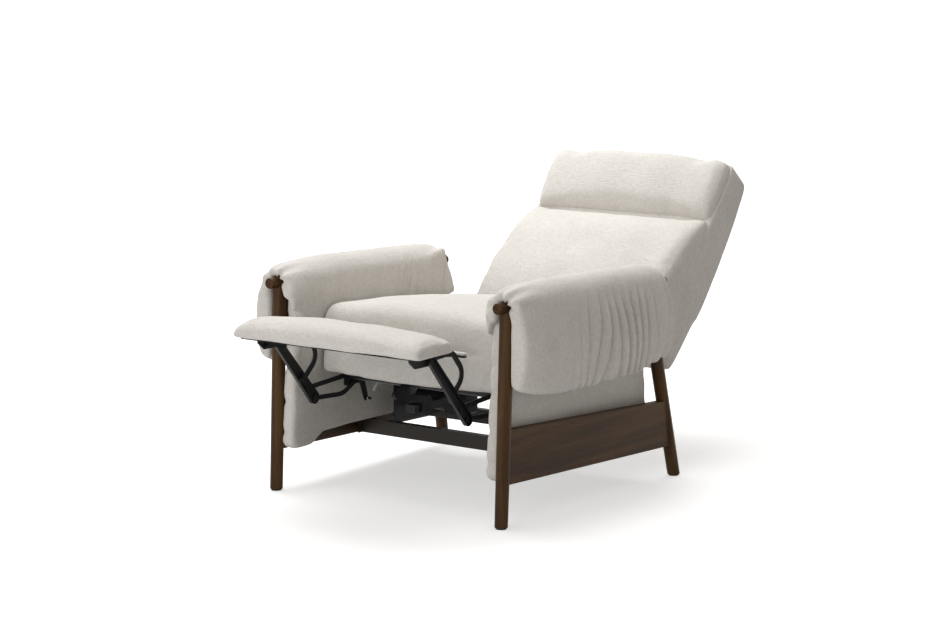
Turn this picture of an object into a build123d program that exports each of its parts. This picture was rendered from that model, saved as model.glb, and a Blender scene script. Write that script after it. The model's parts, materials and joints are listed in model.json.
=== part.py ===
from build123d import *
from math import asin, cos, radians, sin, sqrt, tau
import os

# Power recliner with a wooden show frame, draped arm pillows and a steel footrest linkage.
# Millimetres. X runs across the chair (+X is the sitter's left), Y to the back, Z up.
# Pieces are laid out from the floor under the middle of the front feet, as the chair stands
# with its footrest out and its back down, and moved at the end so that the middle of the
# whole model's box stands on the origin.

# Wooden frame
LEG_SPACING = 720.0
RAIL_HEIGHT = 545.0
RAIL_DROP = 17.5
RAIL_DIAMETER = 28.0
RAIL_OVERHANG = 45.0
REAR_RAIL_OVERHANG = 91.0
RAIL_END_ROUND = 3.0
FRONT_LEAN = 25.0
FOOT_DEPTH = 763.0
REAR_RAKE = 115.0
REAR_SPLAY = 25.0
LEG_TOP_DIAMETER = 38.0
LEG_FOOT_DIAMETER = 33.0
LEG_OVER_RAIL = 21.0
LEG_DOME = 5.0
GLIDE_HEIGHT = 4.0
GLIDE_INSET = 3.0
BOARD_THICKNESS = 24.0
APRON_FRONT_LOW = 109.0
APRON_FRONT_HIGH = 244.0
APRON_REAR_LOW = 85.0
APRON_REAR_HIGH = 209.0
MID_RAIL_THICKNESS = 22.0
MID_RAIL_LOW = 364.0
MID_RAIL_HEIGHT = 30.0
MID_RAIL_DROP = 15.0

# Clearances: wood and cloth against their seats, shafts in their bores, plates in a stack
SEAT_GAP = 0.3
BORE_GAP = 0.08
LAYER_GAP = 1.0
OVERRUN = 40.0

# Upholstered inner panels, which hang lower than the aprons at the front
INNER_WIDTH = 610.0
PANEL_FRONT = 12.0
PANEL_BELOW_RAIL = 40.0
PANEL_REAR = 690.0
SADDLE_GAP = 0.6
PANEL_HANG_LOW = 109.0
PANEL_HANG_DEPTH = 88.0
PANEL_STEP = 52.0
PANEL_LOW = 141.0
PANEL_CORNER = 26.0
PANEL_EDGE_ROUND = 12.0

# Arm pillows, saddles over the arm rails: outer flap, crown and inner flap
PILLOW_FRONT = 3.0
PILLOW_REAR = 692.0
PILLOW_REAR_SLANT = 28.0
PILLOW_INNER = 303.5
PILLOW_OUTER = 426.0
PILLOW_CROWN = 592.0
PILLOW_END_DROP = 9.0
PILLOW_REAR_DROP = 11.0
PILLOW_OUTER_LOW = 317.0
PILLOW_CORNER_RISE = 32.0
PILLOW_FLAP_LOW_THICKNESS = 38.0
PILLOW_SHOULDER_DROP = 46.0
PILLOW_BELLY = 10.0
PILLOW_TUCK = 7.0

# Steel cross rails between the aprons
CROSS_RAIL_DEPTH = 20.0
CROSS_RAIL_HEIGHT = 39.0
CROSS_RAIL_LOW = 96.0
FRONT_CROSS_RAIL = 352.0
REAR_CROSS_RAIL = 636.0
RAIL_FLANGE = 3.0
RAIL_FLANGE_SPREAD = 16.0

# Seat box and cushion
SEAT_HALF_WIDTH = 298.0
SEAT_FRONT = 118.0
SEAT_REAR = 742.0
SEAT_LIP_LOW = 303.0
SEAT_TOP_FRONT = 478.0
SEAT_TOP_REAR = 428.0
SEAT_CROWN = 16.0
SEAT_FRONT_BULGE = 29.0
SEAT_SIDE_TUCK = 7.0
SEAT_NOSE_DEPTH = 42.0
SEAT_NOSE_DROP = 34.0
BOX_FRONT = 134.0
BOX_REAR = 712.0
BOX_LOW = 312.0
BOX_HEIGHT = 38.0
BOX_RAIL = 20.0
FRAME_X = 240.0
SPRING_WIRE = 3.8
SPRING_LOOP = 48.0
SPRING_PITCH = 46.0
SPRING_SPACING = 116.0
SPRING_COUNT = 4
SPRING_BEND = 11.0
CLIP_WIDTH = 14.0
CLIP_LENGTH = 10.0
CLIP_THICKNESS = 1.2
SPRING_TAIL = 9.0

# Back: its pivot, how far it leans at rest, and its layers measured along and through it
BACK_PIVOT_Y = 740.0
BACK_PIVOT_Z = 372.0
BACK_LEAN = 39.7
BACK_HALF_WIDTH = 300.0
BACK_LENGTH = 655.0
BACK_SEAM = 432.0
BACK_CORE = 132.0
BACK_REAR_LOW = 198.0
BACK_REAR_MID = 222.0
BACK_REAR_HIGH = 196.0
BACK_SEAM_DEPTH = 82.0
BACK_CROWN = 14.0
BACK_SIDE_TUCK = 9.0
BACK_END_INSET = 14.0
BACK_CHEST = 2.0
BACK_WAIST = -18.0
BACK_SHOULDER = -49.0
HEAD_FRONT = 63.0
HEAD_TOP_FRONT = 66.0
CHEST_SHARE = 0.3
WAIST_SHARE = 0.62
SHOULDER_SHARE = 0.85
SEAM_GAP = 1.0
SECTION_SHARES = (-1.0, -0.965, -0.85, -0.45, 0.0, 0.45, 0.85, 0.965, 1.0)
TUCK_SHARES = (1.0, 0.25, 0.0, 0.0, 0.0, 0.0, 0.0, 0.25, 1.0)
HEAD_BOW_SHARE = -0.16
TOP_BOW_SHARE = -0.05
BACK_NECK = 180.0
BACK_NECK_CUT = 8.5
BACK_BOTTOM_GAP = 6.0
BACK_RAIL_WIDTH = 46.0
BACK_RAIL_THICKNESS = 28.0
BACK_FRAME_HALF = 262.0
BACK_FRAME_LOW = 30.0
BACK_FRAME_HIGH = 612.0
BACK_FRAME_MID_SHARE = 0.55
BRACKET_THICKNESS = 3.0
BRACKET_LENGTH = 154.0
BRACKET_WIDTH = 42.0
HINGE_PLATE_X = 296.0
HINGE_RADIUS = 20.0
HINGE_PIN_RADIUS = 6.0

# Footrest linkage, pivots at rest as (y, z), and the stack of its plates measured from x = 0
REAR_LINK_PIVOT = (160.0, 296.0)
CONTROL_PIVOT = (192.8, 284.3)
KNEE = (-9.7, 287.6)
ELBOW = (18.0, 256.0)
PAD_PIVOT = (-126.9, 421.6)
PAD_CONTROL_PIVOT = (-174.6, 421.6)
CURVED_PIVOT = (-36.0, 314.0)
PLATE = 3.5
LINK_WIDTH = 12.0
LINK_CLEARANCE = 0.4
FOOTREST_TURN = 136.7
CHANNEL_WIDTH = 33.0
CHANNEL_FLANGE = 6.0
CHANNEL_TIP = 12.0
CURVED_WIDTH = 14.5
CURVED_TOP = 431.0
CURVED_BACK = 23.0
CURVED_LOW = 368.0
CURVED_RUN = 4.0
CURVED_BEND = 34.0
CONTROL_DIP = 250.0
CONTROL_DIP_Y = 128.0
CONTROL_BEND = 70.0
KNEE_BEND = 12.0
EYE_RADIUS = 11.0
CONTROL_EYE_RADIUS = 8.0
HUB_WALL = 5.5
RIVET_RADIUS = 4.0
RIVET_HEAD_RADIUS = 6.5
RIVET_HEAD = 2.0
STUD_RADIUS = 5.0
ANCHOR_LOW = (212.0, 227.0)
ANCHOR_WIDTH = 16.0
SPRING_STUD = (286.0, 303.0)
COIL_RADIUS = 5.2
COIL_WIRE = 0.9
COIL_TURNS = 12
COIL_SAMPLES = 1200
STRAIGHT_SHARE = 1e-9
COIL_PITCH = 4.4
TUBE_RADIUS = 12.0
TUBE_WALL = 2.0
STUB_RADIUS = 8.0

# Footrest pad, its board and bracket, and the middle panel hinged behind it
PAD_HALF_WIDTH = 290.0
PAD_FRONT = -247.0
PAD_REAR = -92.0
PAD_BOTTOM = 441.5
PAD_TOP = 489.0
PAD_CROWN = 6.0
PAD_EDGE = 17.0
PAD_SIDE_TUCK = 6.0
PAD_BOARD_HALF_WIDTH = 272.0
PAD_BOARD_FRONT = -232.0
PAD_BOARD_REAR = -106.0
PAD_BOARD_LOW = 440.0
PAD_BOARD_THICKNESS = 12.0
PAD_BRACKET_FRONT = -208.0
PAD_BRACKET_REAR = -108.0
PAD_BRACKET_FLANGE = 20.0
PANEL_HINGE = (-90.0, 430.0)
PANEL_HINGE_RADIUS = 2.5
PANEL_HINGE_WALL = 2.0
PANEL_HINGE_X = 150.0
PANEL_KNUCKLE = 24.0
MIDDLE_LENGTH = 153.0
MIDDLE_SLOPE = 8.3
MIDDLE_ABOVE = 6.0
MIDDLE_BELOW = 7.0
MIDDLE_NARROW = 196.0
MIDDLE_WIDE = 226.0
MIDDLE_WIDE_START = 124.0
MIDDLE_TAPER = 14.0
MIDDLE_START = 8.0
MIDDLE_BOARD = 5.0
MIDDLE_ROUND = 2.5

# Footrest drive: crank on the torque tube, drive link, slide block, rail, gearbox and motor
CRANK_LENGTH = 60.0
CRANK_ANGLE = 207.0
CRANK_X = -48.0
CRANK_THICKNESS = 6.0
CRANK_HUB = 15.0
DRIVE_LINK_LENGTH = 150.0
SLIDE_HEIGHT = 235.0
DRIVE_LINK_THICKNESS = 5.0
DRIVE_LINK_WIDTH = 18.0
ACTUATOR_X = -78.0
ACTUATOR_RAIL_WIDTH = 30.0
ACTUATOR_RAIL_HEIGHT = 22.0
ACTUATOR_RAIL_LOW = 203.0
ACTUATOR_RAIL_WALL = 2.5
ACTUATOR_RAIL_FRONT = 208.0
ACTUATOR_RAIL_REAR = 404.0
SCREW_RADIUS = 4.5
BLOCK_LENGTH = 36.0
BLOCK_WALL = 5.0
BLOCK_TOP = 246.0
GEARBOX_DEPTH = 52.0
GEARBOX_WIDTH = 72.0
GEARBOX_LOW = 168.0
GEARBOX_HEIGHT = 84.0
GEARBOX_ROUND = 9.0
MOTOR_RADIUS = 28.0
MOTOR_LENGTH = 96.0
MOTOR_RIB = 2.0
MOTOR_CAP = 14.0
CROSS_BAR_SIZE = 25.0
CROSS_BAR_TAB = 46.0
INLET_RADIUS = 7.0
INLET_LENGTH = 14.0
INLET_BORE = 3.0

# Steel side frames that carry the seat box and stand on the cross rails
SIDE_FRAME_FRONT = 138.0
SIDE_FRAME_HIGH = 340.0
SIDE_FRAME_BAND = 268.0
SIDE_FRAME_LEG_FRONT = 350.0
SIDE_FRAME_LEG_WIDTH = 96.0
SIDE_FRAME_FOOT = 19.0
SIDE_FRAME_ROUND = 8.0
WINDOW_COUNT = 2
WINDOW_GAP = 26.0

# Back strut, pinned to the rear cross rail and to the back's bottom rail
STRUT_X = 70.0
STRUT_LOW = (646.0, 160.0)
STRUT_EYE_ALONG = 22.0
STRUT_EYE_DEPTH = 104.0
STRUT_BODY_RADIUS = 17.0
STRUT_BODY_LENGTH = 176.0
STRUT_ROD_RADIUS = 6.0
STRUT_EYE_RADIUS = 11.0
STRUT_EYE_WIDTH = 14.0
STRUT_NECK = 5.0
STRUT_ROOM = 5.0
STRUT_FRONT_ROOM = 20.0
STRUT_PIN_RADIUS = 5.0
STRUT_SOCKET = 60.0
CLEVIS_WALL = 4.0
CLEVIS_BASE = 3.0
STRUT_MOTOR_RADIUS = 21.0
STRUT_MOTOR_LENGTH = 84.0
STRUT_MOTOR_DROP = 4.0

# Push button plate on the outside of the sitter's right inner panel
SWITCH_Y = 112.0
SWITCH_Z = 300.0
SWITCH_HEIGHT = 62.0
SWITCH_WIDTH = 34.0
SWITCH_THICKNESS = 3.0
SWITCH_ROUND = 6.0
SWITCH_BODY_DEPTH = 16.0
SWITCH_BODY_INSET = 5.0
BUTTON_RADIUS = 8.5
BUTTON_SPACING = 26.0
BUTTON_PROUD = 3.5
BUTTON_STEM = 5.0
BUTTON_TRAVEL = 1.5
BUTTON_CLEARANCE = 0.4

# Fasteners
BOLT_COUNT = 4
BOLT_INSET = 28.0
BOLT_HEAD_RADIUS = 7.0
BOLT_HEAD = 3.5

half_spacing = LEG_SPACING / 2
inner_face = INNER_WIDTH / 2
rail_radius = RAIL_DIAMETER / 2
rear_cross_y = FOOT_DEPTH - REAR_RAKE
rear_cross_z = RAIL_HEIGHT - RAIL_DROP
rail_direction = Vector(0, rear_cross_y - FRONT_LEAN, -RAIL_DROP).normalized()
panel_outer = half_spacing - BOARD_THICKNESS / 2 - SEAT_GAP
link_x = FRAME_X - LAYER_GAP - PLATE
crank_y = REAR_LINK_PIVOT[0] + CRANK_LENGTH * cos(radians(CRANK_ANGLE))
crank_z = REAR_LINK_PIVOT[1] + CRANK_LENGTH * sin(radians(CRANK_ANGLE))
crank_tip = (crank_y, crank_z)
slide_pin = (crank_y + sqrt(DRIVE_LINK_LENGTH**2 - (crank_z - SLIDE_HEIGHT) ** 2), SLIDE_HEIGHT)
curved_x = link_x - LAYER_GAP - PLATE
anchor_x = curved_x - LAYER_GAP - PLATE
frame_outer = FRAME_X + PLATE
box_inner_x = frame_outer + SEAT_GAP
rail_top = CROSS_RAIL_LOW + CROSS_RAIL_HEIGHT
lean = radians(BACK_LEAN)
back_plane = Plane(origin=(0, BACK_PIVOT_Y, BACK_PIVOT_Z), x_dir=(0, sin(lean), cos(lean)), z_dir=(1, 0, 0))
os.makedirs("parts", exist_ok=True)
parts = {}


def side_sketch(x):
    """Sketch plane square to X, with Y as its first axis and Z as its second."""
    return Plane.YZ.offset(x)


def side_plate(sketch, inner, outer):
    """Plate between two distances from the middle, on the sitter's left."""
    return extrude(side_sketch(inner) * sketch, amount=outer - inner, dir=(1, 0, 0))


def cross_pin(place, radius, start, end):
    """Round pin along X between two distances from the middle."""
    y, z = place
    return Pos((start + end) / 2, y, z) * Rot(0, 90, 0) * Cylinder(radius, end - start)


def disc(place, radius):
    """Round outline about a pivot."""
    return Pos(*place) * Circle(radius)


def bar(first, second, first_radius, second_radius):
    """Outline that runs straight from one eye to another."""
    return make_hull(disc(first, first_radius).edges() + disc(second, second_radius).edges())


def block(low, high):
    """Box between two opposite corners."""
    size = [b - a for a, b in zip(low, high)]
    centre = [(a + b) / 2 for a, b in zip(low, high)]
    return Pos(*centre) * Box(*size)


def both_sides(name, solid):
    """The same piece on the sitter's left and, mirrored, on the right."""
    parts[name + "_left"] = solid
    parts[name + "_right"] = mirror(solid, about=Plane.YZ)


def group(*shapes):
    """Like pieces of one kind, kept as separate solids."""
    return Compound([solid for shape in shapes for solid in shape.solids()])


def pair(solid):
    """Both hands of a piece."""
    return group(solid, mirror(solid, about=Plane.YZ))


def leg_solid(foot, crossing, spare):
    """Tapered leg with a domed top that ends just above its rail, cut level above the glide."""
    axis = Vector(*crossing) - Vector(*foot)
    length = axis.length + LEG_OVER_RAIL - LEG_DOME
    lower = LEG_FOOT_DIAMETER / 2 + spare
    upper = LEG_TOP_DIAMETER / 2 + spare
    dome_radius = (upper**2 + LEG_DOME**2) / (2 * LEG_DOME)
    half = asin(upper / dome_radius) / 2
    middle = (dome_radius * sin(half), length + LEG_DOME - dome_radius * (1 - cos(half)))
    straight = Polyline((0, length + LEG_DOME), (0, -OVERRUN), (lower, -OVERRUN), (upper, length))
    dome = ThreePointArc((upper, length), middle, (0, length + LEG_DOME))
    turned = revolve(Plane.XZ * make_face(straight.edges() + dome.edges()), axis=Axis.Z)
    leg = Plane(origin=foot, x_dir=(1, 0, 0), z_dir=axis).location * turned
    reach = LEG_TOP_DIAMETER + OVERRUN
    x, y, _ = foot
    below = block((x - reach, y - reach, -reach), (x + reach, y + reach, GLIDE_HEIGHT))
    return leg - below


def rail_solid(radius, overhang, rear_overhang):
    """Round rail through the tops of the legs."""
    start = Vector(half_spacing, FRONT_LEAN, RAIL_HEIGHT) - rail_direction * overhang
    end = Vector(half_spacing, rear_cross_y, rear_cross_z) + rail_direction * rear_overhang
    length = (end - start).length
    rail = Cylinder(radius, length, align=(Align.CENTER, Align.CENTER, Align.MIN))
    return Plane(origin=start, x_dir=(1, 0, 0), z_dir=rail_direction).location * rail


front_foot = (half_spacing, 0, 0)
front_crossing = (half_spacing, FRONT_LEAN, RAIL_HEIGHT)
rear_foot = (half_spacing + REAR_SPLAY, FOOT_DEPTH, 0)
rear_crossing = (half_spacing, rear_cross_y, rear_cross_z)
front_leg_room = leg_solid(front_foot, front_crossing, SEAT_GAP)
rear_leg_room = leg_solid(rear_foot, rear_crossing, SEAT_GAP)


def wooden_frame():
    """Legs, glides, arm rails, aprons and mid rails."""
    bore = rail_solid(rail_radius + BORE_GAP, RAIL_OVERHANG + OVERRUN, REAR_RAIL_OVERHANG + OVERRUN)
    both_sides("front_leg", leg_solid(front_foot, front_crossing, 0) - bore)
    both_sides("rear_leg", leg_solid(rear_foot, rear_crossing, 0) - bore)
    rail = rail_solid(rail_radius, RAIL_OVERHANG, REAR_RAIL_OVERHANG)
    ends = rail.edges().filter_by(GeomType.CIRCLE)
    parts["arm_rails"] = pair(fillet(ends, RAIL_END_ROUND))
    glides = []
    for foot, crossing in ((front_foot, front_crossing), (rear_foot, rear_crossing)):
        share = GLIDE_HEIGHT / (crossing[2] - foot[2])
        x, y, z = [a + (b - a) * share for a, b in zip(foot, crossing)]
        radius = LEG_FOOT_DIAMETER / 2 - GLIDE_INSET
        glide = Cylinder(radius, GLIDE_HEIGHT, align=(Align.CENTER, Align.CENTER, Align.MIN))
        glides += [Pos(x, y, 0) * glide, Pos(-x, y, 0) * glide]
    parts["foot_glides"] = group(*glides)
    apron = side_board(APRON_FRONT_LOW, APRON_FRONT_HIGH, APRON_REAR_LOW, APRON_REAR_HIGH, BOARD_THICKNESS)
    both_sides("apron", apron)
    high = MID_RAIL_LOW + MID_RAIL_HEIGHT
    rear_low = MID_RAIL_LOW - MID_RAIL_DROP
    mid_rail = side_board(MID_RAIL_LOW, high, rear_low, rear_low + MID_RAIL_HEIGHT, MID_RAIL_THICKNESS)
    parts["mid_rails"] = pair(mid_rail)


def rail_z(y):
    """Height of the arm rail's axis."""
    return RAIL_HEIGHT - RAIL_DROP * (y - FRONT_LEAN) / (rear_cross_y - FRONT_LEAN)


def leg_y(z, front):
    """Where a leg's axis stands at a height."""
    if front:
        return FRONT_LEAN * z / RAIL_HEIGHT
    return FOOT_DEPTH - REAR_RAKE * z / rear_cross_z


def board_rear_x(z):
    """Distance of the rear leg's axis from the middle at a height."""
    return half_spacing + REAR_SPLAY * (1 - z / rear_cross_z)


def side_board(front_low, front_high, rear_low, rear_high, thickness):
    """Board from the front leg to the rear leg, coped round both."""
    rear_x = board_rear_x((rear_low + rear_high) / 2)
    run = (rear_x - half_spacing, FOOT_DEPTH, 0)
    frame = Plane(origin=(half_spacing, 0, 0), x_dir=run, z_dir=(FOOT_DEPTH, half_spacing - rear_x, 0))
    outline = Polygon(
        (leg_y(front_low, True), front_low),
        (leg_y(rear_low, False), rear_low),
        (leg_y(rear_high, False), rear_high),
        (leg_y(front_high, True), front_high),
        align=None,
    )
    board = extrude(frame * outline, amount=thickness / 2, both=True)
    coped = board - front_leg_room - rear_leg_room
    return coped.solids().sort_by(SortBy.VOLUME)[-1]


def inner_panel():
    """Upholstered panel inside the legs: low at the front, stepped up behind the linkage."""
    front_y = PANEL_FRONT + FRONT_LEAN
    front_top = rail_z(front_y) - PANEL_BELOW_RAIL
    rear_y = leg_y(rear_cross_z - PANEL_BELOW_RAIL, False)
    rear_top = rail_z(rear_y) - PANEL_BELOW_RAIL
    step_start = PANEL_HANG_DEPTH
    outline = Polygon(
        (PANEL_FRONT, PANEL_HANG_LOW),
        (step_start, PANEL_HANG_LOW),
        (step_start + PANEL_STEP, PANEL_LOW),
        (PANEL_REAR, PANEL_LOW),
        (rear_y, rear_top),
        (front_y, front_top),
        align=None,
    )
    corners = outline.vertices().sort_by(Axis.Y)
    outline = fillet(corners[0:2], PANEL_CORNER)
    panel = side_plate(outline, inner_face, panel_outer)
    front_edges = panel.edges().filter_by(lambda e: abs(e.center().Z - front_top / 2) < front_top / 4)
    front_edges = [e for e in front_edges if e.center().Y < PANEL_HANG_DEPTH / 2]
    panel = fillet(front_edges, PANEL_EDGE_ROUND)
    panel = panel - front_leg_room - rear_leg_room
    return panel.solids().sort_by(SortBy.VOLUME)[-1]


def pillow_section(y, crown, outer_low, inset):
    """Cross section of the arm pillow: inner flap, crown, full outer flap, and the slot for the rail."""
    slot = LEG_TOP_DIAMETER / 2 + SEAT_GAP
    slot_inner = half_spacing - slot
    slot_outer = half_spacing + slot
    slot_top = rail_z(y) + rail_radius + SEAT_GAP
    inner_low = rail_z(y) - PANEL_BELOW_RAIL + SADDLE_GAP
    inner = PILLOW_INNER + inset
    outer = PILLOW_OUTER - inset
    shoulder = crown - PILLOW_SHOULDER_DROP
    low_in = outer - PILLOW_FLAP_LOW_THICKNESS
    inner_start = (inner, inner_low)
    inner_shoulder = (inner, shoulder)
    outer_shoulder = (outer - PILLOW_TUCK, shoulder)
    outer_foot = (outer - PILLOW_TUCK, outer_low + PILLOW_TUCK)
    middle = ((inner + outer) / 2, crown)
    belly = (outer + PILLOW_BELLY, (shoulder + outer_low) / 2)
    inner_foot = (low_in, outer_low + PILLOW_TUCK)
    hem = ((outer_foot[0] + low_in) / 2, outer_low)
    lines = Polyline(inner_start, inner_shoulder).edges()
    lines += ThreePointArc(inner_shoulder, middle, outer_shoulder).edges()
    lines += ThreePointArc(outer_shoulder, belly, outer_foot).edges()
    lines += ThreePointArc(outer_foot, hem, inner_foot).edges()
    lines += Polyline(inner_foot, (slot_outer, slot_top - PILLOW_SHOULDER_DROP)).edges()
    lines += Polyline((slot_outer, slot_top - PILLOW_SHOULDER_DROP), (slot_outer, slot_top)).edges()
    lines += Polyline((slot_outer, slot_top), (slot_inner, slot_top)).edges()
    lines += Polyline((slot_inner, slot_top), (slot_inner, inner_low)).edges()
    lines += Polyline((slot_inner, inner_low), inner_start).edges()
    frame = Plane(origin=(0, y, 0), x_dir=(1, 0, 0), z_dir=(0, -1, 0))
    return frame * make_face(lines)


def arm_pillow():
    """Saddle pillow lofted from end to end, deepest in the middle, slit for the legs."""
    span = PILLOW_REAR - PILLOW_FRONT
    stations = (
        (0.0, PILLOW_END_DROP, PILLOW_CORNER_RISE, PILLOW_TUCK),
        (0.07, 0.0, PILLOW_CORNER_RISE / 2, 0.0),
        (0.5, 0.0, 0.0, 0.0),
        (0.9, PILLOW_REAR_DROP, PILLOW_CORNER_RISE / 2, 0.0),
        (1.0, PILLOW_REAR_DROP + PILLOW_END_DROP, PILLOW_CORNER_RISE, PILLOW_TUCK),
    )
    sections = []
    for share, drop, rise, inset in stations:
        y = PILLOW_FRONT + span * share
        sections.append(pillow_section(y, PILLOW_CROWN - drop, PILLOW_OUTER_LOW + rise, inset))
    pillow = loft(sections)
    slant = Polygon(
        (PILLOW_REAR - PILLOW_REAR_SLANT, PILLOW_CROWN + OVERRUN),
        (PILLOW_REAR + OVERRUN, PILLOW_CROWN + OVERRUN),
        (PILLOW_REAR + OVERRUN, PILLOW_OUTER_LOW),
        (PILLOW_REAR, PILLOW_OUTER_LOW),
        align=None,
    )
    pillow = pillow - side_plate(slant, inner_face - OVERRUN, PILLOW_OUTER + OVERRUN)
    return (pillow - front_leg_room - rear_leg_room).solids().sort_by(SortBy.VOLUME)[-1]


def side_upholstery():
    """Inner panels and arm pillows, with the pocket for the buttons in the right panel."""
    panel = inner_panel()
    parts["inner_panel_left"] = panel
    depth = SWITCH_BODY_DEPTH + BUTTON_CLEARANCE
    half_height = (SWITCH_HEIGHT - SWITCH_BODY_INSET) / 2 + BUTTON_CLEARANCE
    half_width = (SWITCH_WIDTH - SWITCH_BODY_INSET) / 2 + BUTTON_CLEARANCE
    pocket = block(
        (-panel_outer - SWITCH_THICKNESS, SWITCH_Y - half_width, SWITCH_Z - half_height),
        (-panel_outer + depth, SWITCH_Y + half_width, SWITCH_Z + half_height),
    )
    parts["inner_panel_right"] = mirror(panel, about=Plane.YZ) - pocket
    both_sides("arm_pillow", arm_pillow())


def cross_rails():
    """Steel rails between the aprons, with welded end flanges."""
    rear_x = board_rear_x((APRON_REAR_LOW + APRON_REAR_HIGH) / 2)
    for name, y in (("front_cross_rail", FRONT_CROSS_RAIL), ("rear_cross_rail", REAR_CROSS_RAIL)):
        front = y - RAIL_FLANGE_SPREAD
        rear = y + CROSS_RAIL_DEPTH + RAIL_FLANGE_SPREAD
        board_x = half_spacing + (rear_x - half_spacing) * front / FOOT_DEPTH
        reach = board_x - BOARD_THICKNESS / 2 - SEAT_GAP
        rail = block((-reach, y, CROSS_RAIL_LOW), (reach, y + CROSS_RAIL_DEPTH, rail_top))
        for end in (-reach, reach - RAIL_FLANGE):
            rail += block((end, front, CROSS_RAIL_LOW), (end + RAIL_FLANGE, rear, rail_top))
        parts[name] = rail


def side_frames():
    """Stamped side frames: a band under the seat box, two legs and a foot flange on the cross rails."""
    low = rail_top + SEAT_GAP
    rear = BOX_REAR - BOX_RAIL - SEAT_GAP
    outline = Polygon(
        (SIDE_FRAME_FRONT, SIDE_FRAME_HIGH),
        (SIDE_FRAME_FRONT, SIDE_FRAME_BAND),
        (SIDE_FRAME_LEG_FRONT, SIDE_FRAME_BAND),
        (SIDE_FRAME_LEG_FRONT, low),
        (rear, low),
        (rear, SIDE_FRAME_HIGH),
        align=None,
    )
    outline = fillet(outline.vertices(), SIDE_FRAME_ROUND)
    first = SIDE_FRAME_LEG_FRONT + SIDE_FRAME_LEG_WIDTH
    width = (rear - WINDOW_GAP - first - WINDOW_GAP * (WINDOW_COUNT - 1)) / WINDOW_COUNT
    height = SIDE_FRAME_BAND - low - 2 * WINDOW_GAP
    for index in range(WINDOW_COUNT):
        centre = first + width / 2 + index * (width + WINDOW_GAP)
        window = RectangleRounded(width, height, SIDE_FRAME_ROUND)
        outline -= Pos(centre, (low + SIDE_FRAME_BAND) / 2) * window
    plate = side_plate(outline, FRAME_X, frame_outer)
    flange_front = SIDE_FRAME_LEG_FRONT + SIDE_FRAME_ROUND
    flange_rear = rear - SIDE_FRAME_ROUND
    plate += block((FRAME_X, flange_front, low), (frame_outer + SIDE_FRAME_FOOT, flange_rear, low + PLATE))
    plate -= block(
        (FRAME_X - OVERRUN, BOX_FRONT - OVERRUN, BOX_LOW - SEAT_GAP),
        (frame_outer + OVERRUN, BOX_FRONT + BOX_RAIL + SEAT_GAP, SIDE_FRAME_HIGH + OVERRUN),
    )
    plate -= cross_pin(REAR_LINK_PIVOT, STUB_RADIUS + BORE_GAP, FRAME_X - OVERRUN, frame_outer + OVERRUN)
    plate -= cross_pin(CONTROL_PIVOT, STUD_RADIUS + BORE_GAP, FRAME_X - OVERRUN, frame_outer + OVERRUN)
    plate -= cross_pin(SPRING_STUD, RIVET_RADIUS + BORE_GAP, FRAME_X - OVERRUN, frame_outer + OVERRUN)
    parts["side_frames"] = pair(plate)


def turned(point, centre, angle):
    """A (y, z) point swung about another."""
    y = point[0] - centre[0]
    z = point[1] - centre[1]
    return (centre[0] + y * cos(angle) - z * sin(angle), centre[1] + y * sin(angle) + z * cos(angle))


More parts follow.
